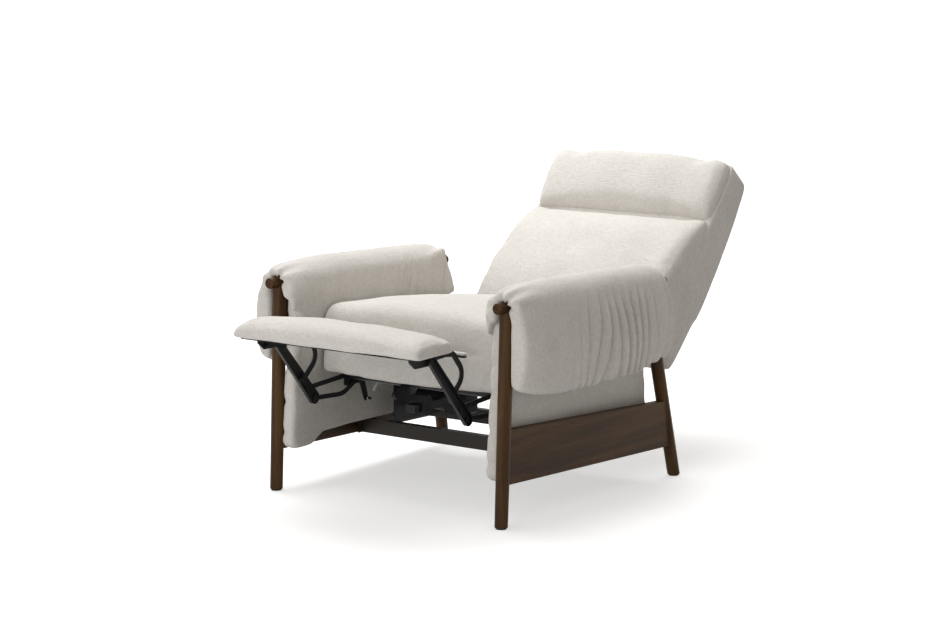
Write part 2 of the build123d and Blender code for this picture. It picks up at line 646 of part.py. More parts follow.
def link_plates():
    """Rear, control, channel and curved links of the footrest, one of each a side."""
    # The rear link is arched where it passes over the control link's eye with the footrest closed.
    closed_eye = turned(CONTROL_PIVOT, REAR_LINK_PIVOT, -radians(FOOTREST_TURN))
    arch = (closed_eye[0], closed_eye[1] + CONTROL_EYE_RADIUS + LINK_WIDTH / 2 + LINK_CLEARANCE)
    knee_line = FilletPolyline(REAR_LINK_PIVOT, arch, KNEE, CURVED_PIVOT, radius=KNEE_BEND)
    rear = trace(knee_line, line_width=LINK_WIDTH) + disc(CURVED_PIVOT, EYE_RADIUS)
    rear += disc(REAR_LINK_PIVOT, STUB_RADIUS + HUB_WALL) + disc(KNEE, EYE_RADIUS)
    rear = side_plate(rear, link_x, link_x + PLATE)
    stub = cross_pin(REAR_LINK_PIVOT, STUB_RADIUS, link_x + PLATE, frame_outer + SEAT_GAP)
    head = cross_pin(REAR_LINK_PIVOT, EYE_RADIUS, frame_outer + SEAT_GAP, frame_outer + SEAT_GAP + RIVET_HEAD)
    rear += stub + head
    rear -= cross_pin(KNEE, RIVET_RADIUS + BORE_GAP, link_x - OVERRUN, link_x + OVERRUN)
    rear += cross_pin(CURVED_PIVOT, RIVET_RADIUS, curved_x - SEAT_GAP, link_x)
    rear += cross_pin(CURVED_PIVOT, RIVET_HEAD_RADIUS, curved_x - SEAT_GAP - RIVET_HEAD, curved_x - SEAT_GAP)
    parts["rear_links"] = pair(rear)

    dip = (CONTROL_DIP_Y, CONTROL_DIP)
    control_line = FilletPolyline(CONTROL_PIVOT, dip, ELBOW, radius=CONTROL_BEND)
    control = trace(control_line, line_width=LINK_WIDTH)
    control += disc(CONTROL_PIVOT, CONTROL_EYE_RADIUS) + disc(ELBOW, EYE_RADIUS)
    control = side_plate(control, link_x, link_x + PLATE)
    control += cross_pin(ELBOW, RIVET_RADIUS, link_x - RIVET_HEAD / 2, link_x)
    control -= cross_pin(CONTROL_PIVOT, STUD_RADIUS + BORE_GAP, link_x - OVERRUN, link_x + OVERRUN)
    parts["control_links"] = pair(control)

    web = bar(ELBOW, PAD_PIVOT, CHANNEL_WIDTH / 2, CHANNEL_TIP)
    channel = side_plate(web, FRAME_X, frame_outer + CHANNEL_FLANGE)
    hollow = bar(ELBOW, PAD_PIVOT, CHANNEL_WIDTH / 2 - PLATE, CHANNEL_TIP - PLATE)
    channel -= side_plate(hollow, frame_outer, frame_outer + CHANNEL_FLANGE + OVERRUN)
    for pivot in (KNEE, PAD_PIVOT):
        channel -= cross_pin(pivot, RIVET_RADIUS + BORE_GAP, FRAME_X - OVERRUN, FRAME_X + OVERRUN)
    channel += cross_pin(ELBOW, RIVET_HEAD_RADIUS, frame_outer, frame_outer + RIVET_HEAD)
    parts["channel_links"] = pair(channel)

    shoulder = (CURVED_RUN - CURVED_BEND, CURVED_TOP)
    back = (CURVED_BACK, CURVED_LOW)
    curved_line = FilletPolyline(PAD_CONTROL_PIVOT, shoulder, back, CURVED_PIVOT, radius=CURVED_BEND)
    curved = trace(curved_line, line_width=CURVED_WIDTH) + disc(PAD_CONTROL_PIVOT, CURVED_WIDTH / 2)
    curved += disc(CURVED_PIVOT, CURVED_WIDTH / 2 + BORE_GAP)
    curved = side_plate(curved, curved_x, curved_x + PLATE)
    curved += cross_pin(PAD_CONTROL_PIVOT, RIVET_RADIUS, curved_x - RIVET_HEAD / 2, curved_x)
    curved -= cross_pin(CURVED_PIVOT, RIVET_RADIUS + BORE_GAP, curved_x - OVERRUN, curved_x + OVERRUN)
    parts["curved_links"] = pair(curved)

    rivets = []
    head_start = frame_outer + SEAT_GAP
    for pivot in (KNEE, PAD_PIVOT):
        rivet = cross_pin(pivot, RIVET_RADIUS, link_x, head_start)
        rivet += cross_pin(pivot, RIVET_HEAD_RADIUS, head_start, head_start + RIVET_HEAD)
        rivets.append(pair(rivet))
    parts["channel_rivets"] = group(*rivets)


def biarc(start, start_way, end, end_way):
    """Two arcs that leave one point along a direction and reach another along its own."""
    gap = end - start
    both = start_way + end_way
    a = 2 * (1 - start_way.dot(end_way))
    b = 2 * gap.dot(both)
    c = -gap.dot(gap)
    reach = -c / b if abs(a) < STRAIGHT_SHARE else (-b + sqrt(b * b - 4 * a * c)) / (2 * a)
    first = start + start_way * reach
    second = end - end_way * reach
    joint = (first + second) / 2
    way = (second - first).normalized()
    return [Edge.make_tangent_arc(start, start_way, joint), Edge.make_tangent_arc(joint, way, end)]


def coil_spring():
    """Extension spring from the anchor link to its stud: one wire, coiled, with a loop at each end."""
    low = Vector(anchor_x - COIL_RADIUS - 2 * COIL_WIRE, *ANCHOR_LOW)
    high = Vector(low.X, *SPRING_STUD)
    span = (high - low).length
    coil_length = COIL_TURNS * COIL_PITCH
    start = (span - coil_length) / 2
    eye = RIVET_RADIUS + BORE_GAP + COIL_WIRE + SEAT_GAP

    def on_coil(turn):
        angle = tau * turn
        place = Vector(COIL_RADIUS * cos(angle), COIL_RADIUS * sin(angle), start + COIL_PITCH * turn)
        way = Vector(-COIL_RADIUS * sin(angle), COIL_RADIUS * cos(angle), COIL_PITCH / tau)
        return place, way.normalized()

    up = Vector(0, 0, 1)
    first, first_way = on_coil(0)
    last, last_way = on_coil(COIL_TURNS)
    low_neck = Vector(0, 0, start - 2 * COIL_RADIUS)
    high_neck = Vector(0, 0, start + coil_length + 2 * COIL_RADIUS)
    edges = [Edge.make_three_point_arc(Vector(0, eye, 0), Vector(0, 0, -eye), Vector(0, -eye, 0))]
    edges += biarc(Vector(0, -eye, 0), up, low_neck, up)
    edges += biarc(low_neck, up, first, first_way)
    for half_turn in range(2 * COIL_TURNS):
        place, way = on_coil(half_turn / 2)
        after, after_way = on_coil((half_turn + 1) / 2)
        edges += biarc(place, way, after, after_way)
    edges += biarc(last, last_way, high_neck, up)
    far = Vector(0, -eye, span)
    edges += biarc(high_neck, up, far, up)
    edges.append(Edge.make_three_point_arc(far, Vector(0, 0, span + eye), Vector(0, eye, span)))
    path = Wire(edges)
    section = Plane(origin=path @ 0, z_dir=path % 0) * Circle(COIL_WIRE)
    wire = sweep(section, path=path)
    sampled = [path.position_at(i / COIL_SAMPLES) for i in range(COIL_SAMPLES + 1)]
    coil_points = [p for p in sampled if start < p.Z < start + coil_length]
    apart = 3 * COIL_PITCH / 4
    gaps = []
    for index, point in enumerate(coil_points):
        gaps += [(point - other).length for other in coil_points[index:] if abs(point.Z - other.Z) > apart]
    least = min(gaps) - 2 * COIL_WIRE
    print("coil spring: turns", COIL_TURNS, "least gap to itself", round(least, 2), "mm")
    frame = Plane(origin=low, x_dir=(1, 0, 0), z_dir=high - low)
    return frame.location * wire


def anchors_and_springs():
    """Fixed studs, the hanging anchor links and the extension springs between them."""
    stud = cross_pin(CONTROL_PIVOT, STUD_RADIUS, anchor_x - SEAT_GAP, frame_outer + SEAT_GAP)
    for start in (frame_outer + SEAT_GAP, anchor_x - SEAT_GAP - RIVET_HEAD):
        stud += cross_pin(CONTROL_PIVOT, STUD_RADIUS + RIVET_HEAD, start, start + RIVET_HEAD)
    arm = bar(CONTROL_PIVOT, ANCHOR_LOW, ANCHOR_WIDTH / 2 + RIVET_HEAD, ANCHOR_WIDTH / 2)
    anchor = side_plate(arm, anchor_x, anchor_x + PLATE)
    inside = anchor_x - 2 * COIL_RADIUS - 4 * COIL_WIRE
    anchor += cross_pin(ANCHOR_LOW, RIVET_RADIUS, inside, anchor_x)
    anchor -= cross_pin(CONTROL_PIVOT, STUD_RADIUS + BORE_GAP, anchor_x - OVERRUN, anchor_x + OVERRUN)
    parts["spring_anchors"] = pair(anchor)
    spring_stud = cross_pin(SPRING_STUD, RIVET_RADIUS, inside, frame_outer)
    parts["link_studs"] = group(pair(stud), pair(spring_stud))
    parts["footrest_springs"] = pair(coil_spring())


def torque_tube():
    """Tube between the rear links, with the crank that the drive link pushes."""
    reach = link_x - SEAT_GAP
    tube = cross_pin(REAR_LINK_PIVOT, TUBE_RADIUS, -reach, reach)
    tube -= cross_pin(REAR_LINK_PIVOT, TUBE_RADIUS - TUBE_WALL, -reach - OVERRUN, reach + OVERRUN)
    parts["torque_tube"] = tube
    arm = bar(REAR_LINK_PIVOT, crank_tip, CRANK_HUB, DRIVE_LINK_WIDTH / 2)
    crank_end = CRANK_X + CRANK_THICKNESS
    crank = side_plate(arm, CRANK_X, crank_end)
    crank -= cross_pin(REAR_LINK_PIVOT, TUBE_RADIUS + BORE_GAP, CRANK_X - OVERRUN, CRANK_X + OVERRUN)
    crank += cross_pin(crank_tip, RIVET_HEAD_RADIUS, crank_end, crank_end + RIVET_HEAD)
    parts["crank_arm"] = crank


def footrest_drive():
    """Drive link, slide block, rail with its screw, gearbox, motor and the bar they hang on."""
    link_end = CRANK_X - LAYER_GAP
    link_start = link_end - DRIVE_LINK_THICKNESS
    outline = bar(crank_tip, slide_pin, DRIVE_LINK_WIDTH / 2, DRIVE_LINK_WIDTH / 2)
    link = side_plate(outline, link_start, link_end)
    link -= cross_pin(slide_pin, RIVET_RADIUS + BORE_GAP, link_start - OVERRUN, link_end + OVERRUN)
    parts["drive_link"] = link

    y, pin_z = slide_pin
    half_rail = ACTUATOR_RAIL_WIDTH / 2
    rail_high = ACTUATOR_RAIL_LOW + ACTUATOR_RAIL_HEIGHT
    gap = BUTTON_CLEARANCE
    outside = half_rail + gap + BLOCK_WALL
    low = ACTUATOR_RAIL_LOW - gap - BLOCK_WALL
    carriage = block(
        (ACTUATOR_X - outside, y - BLOCK_LENGTH / 2, low),
        (ACTUATOR_X + outside, y + BLOCK_LENGTH / 2, BLOCK_TOP),
    )
    carriage -= block(
        (ACTUATOR_X - half_rail - gap, y - BLOCK_LENGTH, ACTUATOR_RAIL_LOW - gap),
        (ACTUATOR_X + half_rail + gap, y + BLOCK_LENGTH, rail_high + gap),
    )
    top_edges = carriage.edges().group_by(Axis.Z)[-1].filter_by(Axis.X)
    carriage = chamfer(top_edges, BLOCK_WALL)
    pin = cross_pin(slide_pin, RIVET_RADIUS, ACTUATOR_X + outside, link_end)
    pin += cross_pin(slide_pin, RIVET_HEAD_RADIUS, ACTUATOR_X + outside, link_start - SEAT_GAP)
    parts["slide_block"] = carriage + pin

    rail = block(
        (ACTUATOR_X - half_rail, ACTUATOR_RAIL_FRONT, ACTUATOR_RAIL_LOW),
        (ACTUATOR_X + half_rail, ACTUATOR_RAIL_REAR, rail_high),
    )
    wall = ACTUATOR_RAIL_WALL
    rail -= block(
        (ACTUATOR_X - half_rail + wall, ACTUATOR_RAIL_FRONT + wall, ACTUATOR_RAIL_LOW - OVERRUN),
        (ACTUATOR_X + half_rail - wall, ACTUATOR_RAIL_REAR + OVERRUN, rail_high - wall),
    )
    parts["actuator_rail"] = rail
    screw_z = ACTUATOR_RAIL_LOW + ACTUATOR_RAIL_HEIGHT / 2 - wall
    screw_start = ACTUATOR_RAIL_FRONT + wall + SEAT_GAP
    screw_length = ACTUATOR_RAIL_REAR - screw_start
    screw = Cylinder(SCREW_RADIUS, screw_length, align=(Align.CENTER, Align.CENTER, Align.MIN))
    parts["lead_screw"] = Pos(ACTUATOR_X, screw_start, screw_z) * Rot(-90, 0, 0) * screw

    gear_front = ACTUATOR_RAIL_REAR + SEAT_GAP
    gearbox = block(
        (ACTUATOR_X - GEARBOX_WIDTH / 2, gear_front, GEARBOX_LOW),
        (ACTUATOR_X + GEARBOX_WIDTH / 2, gear_front + GEARBOX_DEPTH, GEARBOX_LOW + GEARBOX_HEIGHT),
    )
    gearbox = fillet(gearbox.edges().filter_by(Axis.Y), GEARBOX_ROUND)
    parts["gearbox"] = gearbox
    motor_z = GEARBOX_LOW + MOTOR_RADIUS + MOTOR_RIB
    motor_y = gear_front + GEARBOX_DEPTH / 2
    motor_end = ACTUATOR_X - GEARBOX_WIDTH / 2 - SEAT_GAP
    motor_start = motor_end - MOTOR_LENGTH
    motor = cross_pin((motor_y, motor_z), MOTOR_RADIUS, motor_start, motor_end)
    for cap in (motor_start, motor_end - MOTOR_CAP):
        motor += cross_pin((motor_y, motor_z), MOTOR_RADIUS + MOTOR_RIB, cap, cap + MOTOR_CAP)
    parts["footrest_motor"] = motor
    inlet_x = ACTUATOR_X + GEARBOX_WIDTH / 2 + SEAT_GAP
    inlet = cross_pin((motor_y, motor_z), INLET_RADIUS, inlet_x, inlet_x + INLET_LENGTH)
    inlet -= cross_pin((motor_y, motor_z), INLET_BORE, inlet_x + RIVET_HEAD, inlet_x + INLET_LENGTH + OVERRUN)
    parts["power_inlet"] = inlet

    bar_front = gear_front + GEARBOX_DEPTH + SEAT_GAP
    bar_low = GEARBOX_LOW + GEARBOX_HEIGHT - CROSS_BAR_SIZE - GEARBOX_ROUND
    reach = FRAME_X - SEAT_GAP
    bar_high = bar_low + CROSS_BAR_SIZE
    tab_front = bar_front + (CROSS_BAR_SIZE - CROSS_BAR_TAB) / 2
    cross = block((-reach, bar_front, bar_low), (reach, bar_front + CROSS_BAR_SIZE, bar_high))
    for end in (-reach, reach - RAIL_FLANGE):
        cross += block((end, tab_front, bar_low), (end + RAIL_FLANGE, tab_front + CROSS_BAR_TAB, bar_high))
    parts["actuator_bar"] = cross


def seat_box():
    """Wooden seat box on the side frames, with zigzag springs clipped across its top."""
    top = BOX_LOW + BOX_HEIGHT
    inside = box_inner_x
    outside = inside + BOX_RAIL
    rear_reach = HINGE_PLATE_X - SEAT_GAP
    parts["seat_front_rail"] = block((-outside, BOX_FRONT, BOX_LOW), (outside, BOX_FRONT + BOX_RAIL, top))
    parts["seat_rear_rail"] = block((-rear_reach, BOX_REAR - BOX_RAIL, BOX_LOW), (rear_reach, BOX_REAR, top))
    side = block(
        (inside, BOX_FRONT + BOX_RAIL + SEAT_GAP, BOX_LOW), (outside, BOX_REAR - BOX_RAIL - SEAT_GAP, top)
    )
    parts["seat_side_rails"] = pair(side)
    radius = SPRING_WIRE / 2
    level = top + CLIP_THICKNESS + radius + SEAT_GAP
    start = BOX_FRONT + BOX_RAIL / 2
    end = BOX_REAR - BOX_RAIL / 2
    count = int((end - start - 2 * SPRING_TAIL) // SPRING_PITCH)
    margin = (end - start - count * SPRING_PITCH) / 2
    springs = []
    clips = []
    for index in range(SPRING_COUNT):
        x = (index - (SPRING_COUNT - 1) / 2) * SPRING_SPACING
        points = [(x - SPRING_LOOP / 2, start), (x + SPRING_LOOP / 2, start)]
        for turn in range(count):
            way = 1 if turn % 2 == 0 else -1
            y = start + margin + (turn + 1 / 2) * SPRING_PITCH
            points[-1] = (x + way * SPRING_LOOP / 2, points[-1][1])
            points += [(x + way * SPRING_LOOP / 2, y), (x - way * SPRING_LOOP / 2, y)]
        points.append((points[-1][0], end))
        points.append((x + (x - points[-1][0]), end))
        line = Pos(0, 0, level) * FilletPolyline(*points, radius=SPRING_BEND)
        path = Wire(line.edges())
        section = Plane(origin=path @ 0, z_dir=path % 0) * Circle(radius)
        springs.append(sweep(section, path=path))
        for y in (start, end):
            low = (x - CLIP_WIDTH / 2, y - CLIP_LENGTH / 2, top)
            high = (x + CLIP_WIDTH / 2, y + CLIP_LENGTH / 2, top + CLIP_THICKNESS)
            clips.append(block(low, high))
    parts["seat_springs"] = group(*springs)
    parts["spring_clips"] = group(*clips)


def seat_section(x, grow, tuck):
    """Side view of the seat cushion: lip, rounded nose, crowned top and rear end."""
    base = BOX_LOW + BOX_HEIGHT + CLIP_THICKNESS + SPRING_WIRE + 2 * SEAT_GAP
    front = SEAT_FRONT - SEAT_FRONT_BULGE * grow + tuck
    lip_back = BOX_FRONT - SEAT_GAP
    lip_low = SEAT_LIP_LOW
    nose = (SEAT_FRONT + SEAT_NOSE_DEPTH, SEAT_TOP_FRONT + SEAT_CROWN * grow - tuck)
    nose_low = (front, SEAT_TOP_FRONT - SEAT_NOSE_DROP)
    corner = (front + SEAT_NOSE_DEPTH / 3 - tuck / 2, nose[1] - SEAT_NOSE_DROP / 4)
    rear_top = (SEAT_REAR - tuck, SEAT_TOP_REAR + SEAT_CROWN * grow / 2 - tuck)
    top_middle = ((nose[0] + rear_top[0]) / 2, (nose[1] + rear_top[1]) / 2 + SEAT_CROWN * (1 + grow) / 2)
    belly = (front - SEAT_SIDE_TUCK / 2, (nose_low[1] + lip_low) / 2)
    rear_low = (SEAT_REAR - SEAT_NOSE_DEPTH / 2, base)
    lines = ThreePointArc((front, lip_low), belly, nose_low).edges()
    lines += ThreePointArc(nose_low, corner, nose).edges()
    lines += ThreePointArc(nose, top_middle, rear_top).edges()
    lines += Polyline(rear_top, rear_low).edges()
    lines += Polyline(rear_low, (lip_back, base)).edges()
    lines += Polyline((lip_back, base), (lip_back, lip_low)).edges()
    lines += Polyline((lip_back, lip_low), (front, lip_low)).edges()
    return side_sketch(x) * make_face(lines)


def seat_cushion():
    """Seat cushion with a waterfall lip, crowned across and drawn in at its sides."""
    sections = []
    for share, grow, tuck in soft_stations():
        sections.append(seat_section(SEAT_HALF_WIDTH * share, grow, SEAT_SIDE_TUCK * tuck))
    cushion = loft(sections)
    room_x = HINGE_PLATE_X - LAYER_GAP - BRACKET_THICKNESS - SADDLE_GAP
    room_y = BOX_REAR - BOX_RAIL - HINGE_RADIUS
    top = BACK_PIVOT_Z + HINGE_RADIUS + OVERRUN
    for low_x, high_x in ((room_x, room_x + OVERRUN), (-room_x - OVERRUN, -room_x)):
        cushion -= block((low_x, room_y, BOX_LOW), (high_x, SEAT_REAR + OVERRUN, top))
    parts["seat_cushion"] = cushion


def bow(start, end, share):
    """Arc between two points that swells to the left of its chord by a share of the chord."""
    run = (end[0] - start[0], end[1] - start[1])
    middle = ((start[0] + end[0]) / 2 - run[1] * share, (start[1] + end[1]) / 2 + run[0] * share)
    return ThreePointArc(start, middle, end).edges()


def soft_stations():
    """Cross sections of a cushion: place as a share of its half width, how full it is and how tucked."""
    full_shares = [1 - share**2 for share in SECTION_SHARES]
    return list(zip(SECTION_SHARES, full_shares, TUCK_SHARES))


def back_frame(x):
    """Plane square to X in the back's own directions: first axis up along it, second out of its front."""
    origin = back_plane.origin + Vector(x, 0, 0)
    return Plane(origin=origin, x_dir=back_plane.x_dir, z_dir=back_plane.z_dir)


def back_solid(build, stations):
    """Loft across the back through sections that grow to the middle and tuck in at the sides."""
    sections = []
    for share, grow, tuck in stations:
        sections.append(back_frame(BACK_HALF_WIDTH * share) * make_face(build(grow, tuck)))
    return loft(sections)


def main_cushion_lines(grow, tuck):
    """Side view of the long back cushion, hollowed at the waist."""
    crown = BACK_CROWN * grow - BACK_SIDE_TUCK * tuck
    low = BACK_BOTTOM_GAP + tuck * BACK_SIDE_TUCK
    high = BACK_SEAM - SEAM_GAP
    back = -BACK_CORE + SEAT_GAP
    start = (low, -BACK_SIDE_TUCK * (1 + tuck))
    seam = (high, -BACK_SEAM_DEPTH)
    waist = (BACK_SEAM * WAIST_SHARE, crown + BACK_WAIST)
    lines = ThreePointArc(start, (BACK_SEAM * CHEST_SHARE, crown + BACK_CHEST), waist).edges()
    shoulder = (BACK_SEAM * SHOULDER_SHARE, crown * SHOULDER_SHARE + BACK_SHOULDER)
    lines += ThreePointArc(waist, shoulder, seam).edges()
    lines += Polyline(seam, (high, back)).edges()
    lines += Polyline((high, back), (low, back)).edges()
    lines += Polyline((low, back), start).edges()
    return lines


def head_cushion_lines(grow, tuck):
    """Side view of the head roll above the seam."""
    crown = BACK_CROWN * grow / 2 - BACK_SIDE_TUCK * tuck
    back = -BACK_CORE + SEAT_GAP
    high = BACK_LENGTH - BACK_END_INSET * (1 + tuck)
    seam = (BACK_SEAM, -BACK_SEAM_DEPTH)
    top = (high, -(HEAD_TOP_FRONT + BACK_CORE) / 2)
    shoulder = (high - BACK_END_INSET, -HEAD_TOP_FRONT + crown)
    lines = ThreePointArc(seam, ((BACK_SEAM + high) / 2, crown - HEAD_FRONT), shoulder).edges()
    lines += bow(shoulder, top, HEAD_BOW_SHARE)
    lines += bow(top, (high, back), TOP_BOW_SHARE)
    lines += Polyline((high, back), (BACK_SEAM, back)).edges()
    lines += Polyline((BACK_SEAM, back), seam).edges()
    return lines


def back_shell_lines(grow, tuck):
    """Side view of the outer back behind the frame."""
    rear = BACK_SIDE_TUCK * (tuck - grow)
    low = BACK_BOTTOM_GAP
    high = BACK_LENGTH - BACK_END_INSET * (1 + tuck) - SEAT_GAP
    front_low = (low, -BACK_CORE)
    front_high = (high, -BACK_CORE)
    rear_high = (high - BACK_END_INSET * 2, -BACK_REAR_HIGH + rear)
    rear_low = (low, -BACK_REAR_LOW + rear)
    lines = Polyline(front_low, front_high).edges()
    corner = (high - BACK_END_INSET / 3, -(BACK_CORE + BACK_REAR_HIGH) / 2)
    lines += ThreePointArc(front_high, corner, rear_high).edges()
    lines += ThreePointArc(rear_high, (BACK_LENGTH / 2, -BACK_REAR_MID + rear), rear_low).edges()
    lines += Polyline(rear_low, front_low).edges()
    return lines


def back_block(x_low, x_high, along_low, along_high, deep, shallow):
    """Box in the back's own directions, between two depths behind its front line."""
    outline = Polygon(
        (along_low, -shallow),
        (along_high, -shallow),
        (along_high, -deep),
        (along_low, -deep),
        align=None,
    )
    return extrude(back_frame(x_low) * outline, amount=x_high - x_low, dir=(1, 0, 0))


def back_unit():
    """Back cushion, head roll, outer shell, the wooden frame inside it and its pivot brackets."""
    stations = soft_stations()
    neck_half = BACK_HALF_WIDTH - BACK_NECK_CUT
    deep = BACK_REAR_MID + OVERRUN
    necks = []
    for x_low, x_high in ((neck_half, neck_half + OVERRUN), (-neck_half - OVERRUN, -neck_half)):
        necks.append(back_block(x_low, x_high, -OVERRUN, BACK_NECK, deep, -OVERRUN))
    main = back_solid(main_cushion_lines, stations)
    shell = back_solid(back_shell_lines, stations)
    for neck in necks:
        main -= neck
        shell -= neck
    parts["back_cushion"] = main
    parts["head_cushion"] = back_solid(head_cushion_lines, stations)

    gap = SEAT_GAP
    front = BACK_CORE + gap
    back = front + BACK_RAIL_THICKNESS
    width = BACK_RAIL_WIDTH
    cavity_half = BACK_FRAME_HALF + gap
    cavity = back_block(
        -cavity_half,
        cavity_half,
        BACK_FRAME_LOW - gap,
        BACK_FRAME_HIGH + gap,
        back + gap,
        BACK_CORE - OVERRUN,
    )
    parts["back_shell"] = shell - cavity
    stile = back_block(BACK_FRAME_HALF - width, BACK_FRAME_HALF, BACK_FRAME_LOW, BACK_FRAME_HIGH, back, front)
    parts["back_stiles"] = pair(stile)
    inside = BACK_FRAME_HALF - width - gap
    middle = BACK_FRAME_LOW + (BACK_FRAME_HIGH - BACK_FRAME_LOW) * BACK_FRAME_MID_SHARE
    rails = []
    for along in (BACK_FRAME_LOW, middle, BACK_FRAME_HIGH - width):
        rails.append(back_block(-inside, inside, along, along + width, back, front))
    parts["back_rails"] = group(*rails)


def back_place(along, depth):
    """World (y, z) of a point given along the back and behind its front line."""
    point = back_plane.origin + back_plane.x_dir * along - back_plane.y_dir * depth
    return (point.Y, point.Z)


def back_pivots():
    """Fixed hinge plates on the seat box, swinging brackets on the back and the pins between them."""
    pivot = (BACK_PIVOT_Y, BACK_PIVOT_Z)
    inner = HINGE_PLATE_X - LAYER_GAP - BRACKET_THICKNESS
    arm_end = back_place(BRACKET_LENGTH, BACK_CORE / 2)
    outline = bar(pivot, arm_end, HINGE_RADIUS, BRACKET_WIDTH / 2)
    bracket = side_plate(outline, inner, inner + BRACKET_THICKNESS)
    bore = cross_pin(pivot, HINGE_PIN_RADIUS + BORE_GAP, inner - OVERRUN, HINGE_PLATE_X + OVERRUN)
    bracket -= bore
    parts["back_brackets"] = pair(bracket)
    top = BOX_LOW + BOX_HEIGHT
    foot_rear = BOX_REAR - BOX_RAIL / 4
    foot_front = BOX_REAR - BOX_RAIL
    foot = Polygon(
        (foot_front, BOX_LOW),
        (foot_rear, BOX_LOW),
        (foot_rear, top),
        (foot_front, top),
        align=None,
    )
    plate = make_hull(foot.edges() + disc(pivot, HINGE_RADIUS).edges())
    plate = side_plate(plate, HINGE_PLATE_X, HINGE_PLATE_X + BRACKET_THICKNESS)
    plate -= bore
    parts["hinge_plates"] = pair(plate)
    head_start = HINGE_PLATE_X + BRACKET_THICKNESS + SEAT_GAP
    pin = cross_pin(pivot, HINGE_PIN_RADIUS, inner, head_start)
    pin += cross_pin(pivot, HINGE_PIN_RADIUS + RIVET_HEAD, head_start, head_start + RIVET_HEAD)
    parts["pivot_pins"] = pair(pin)


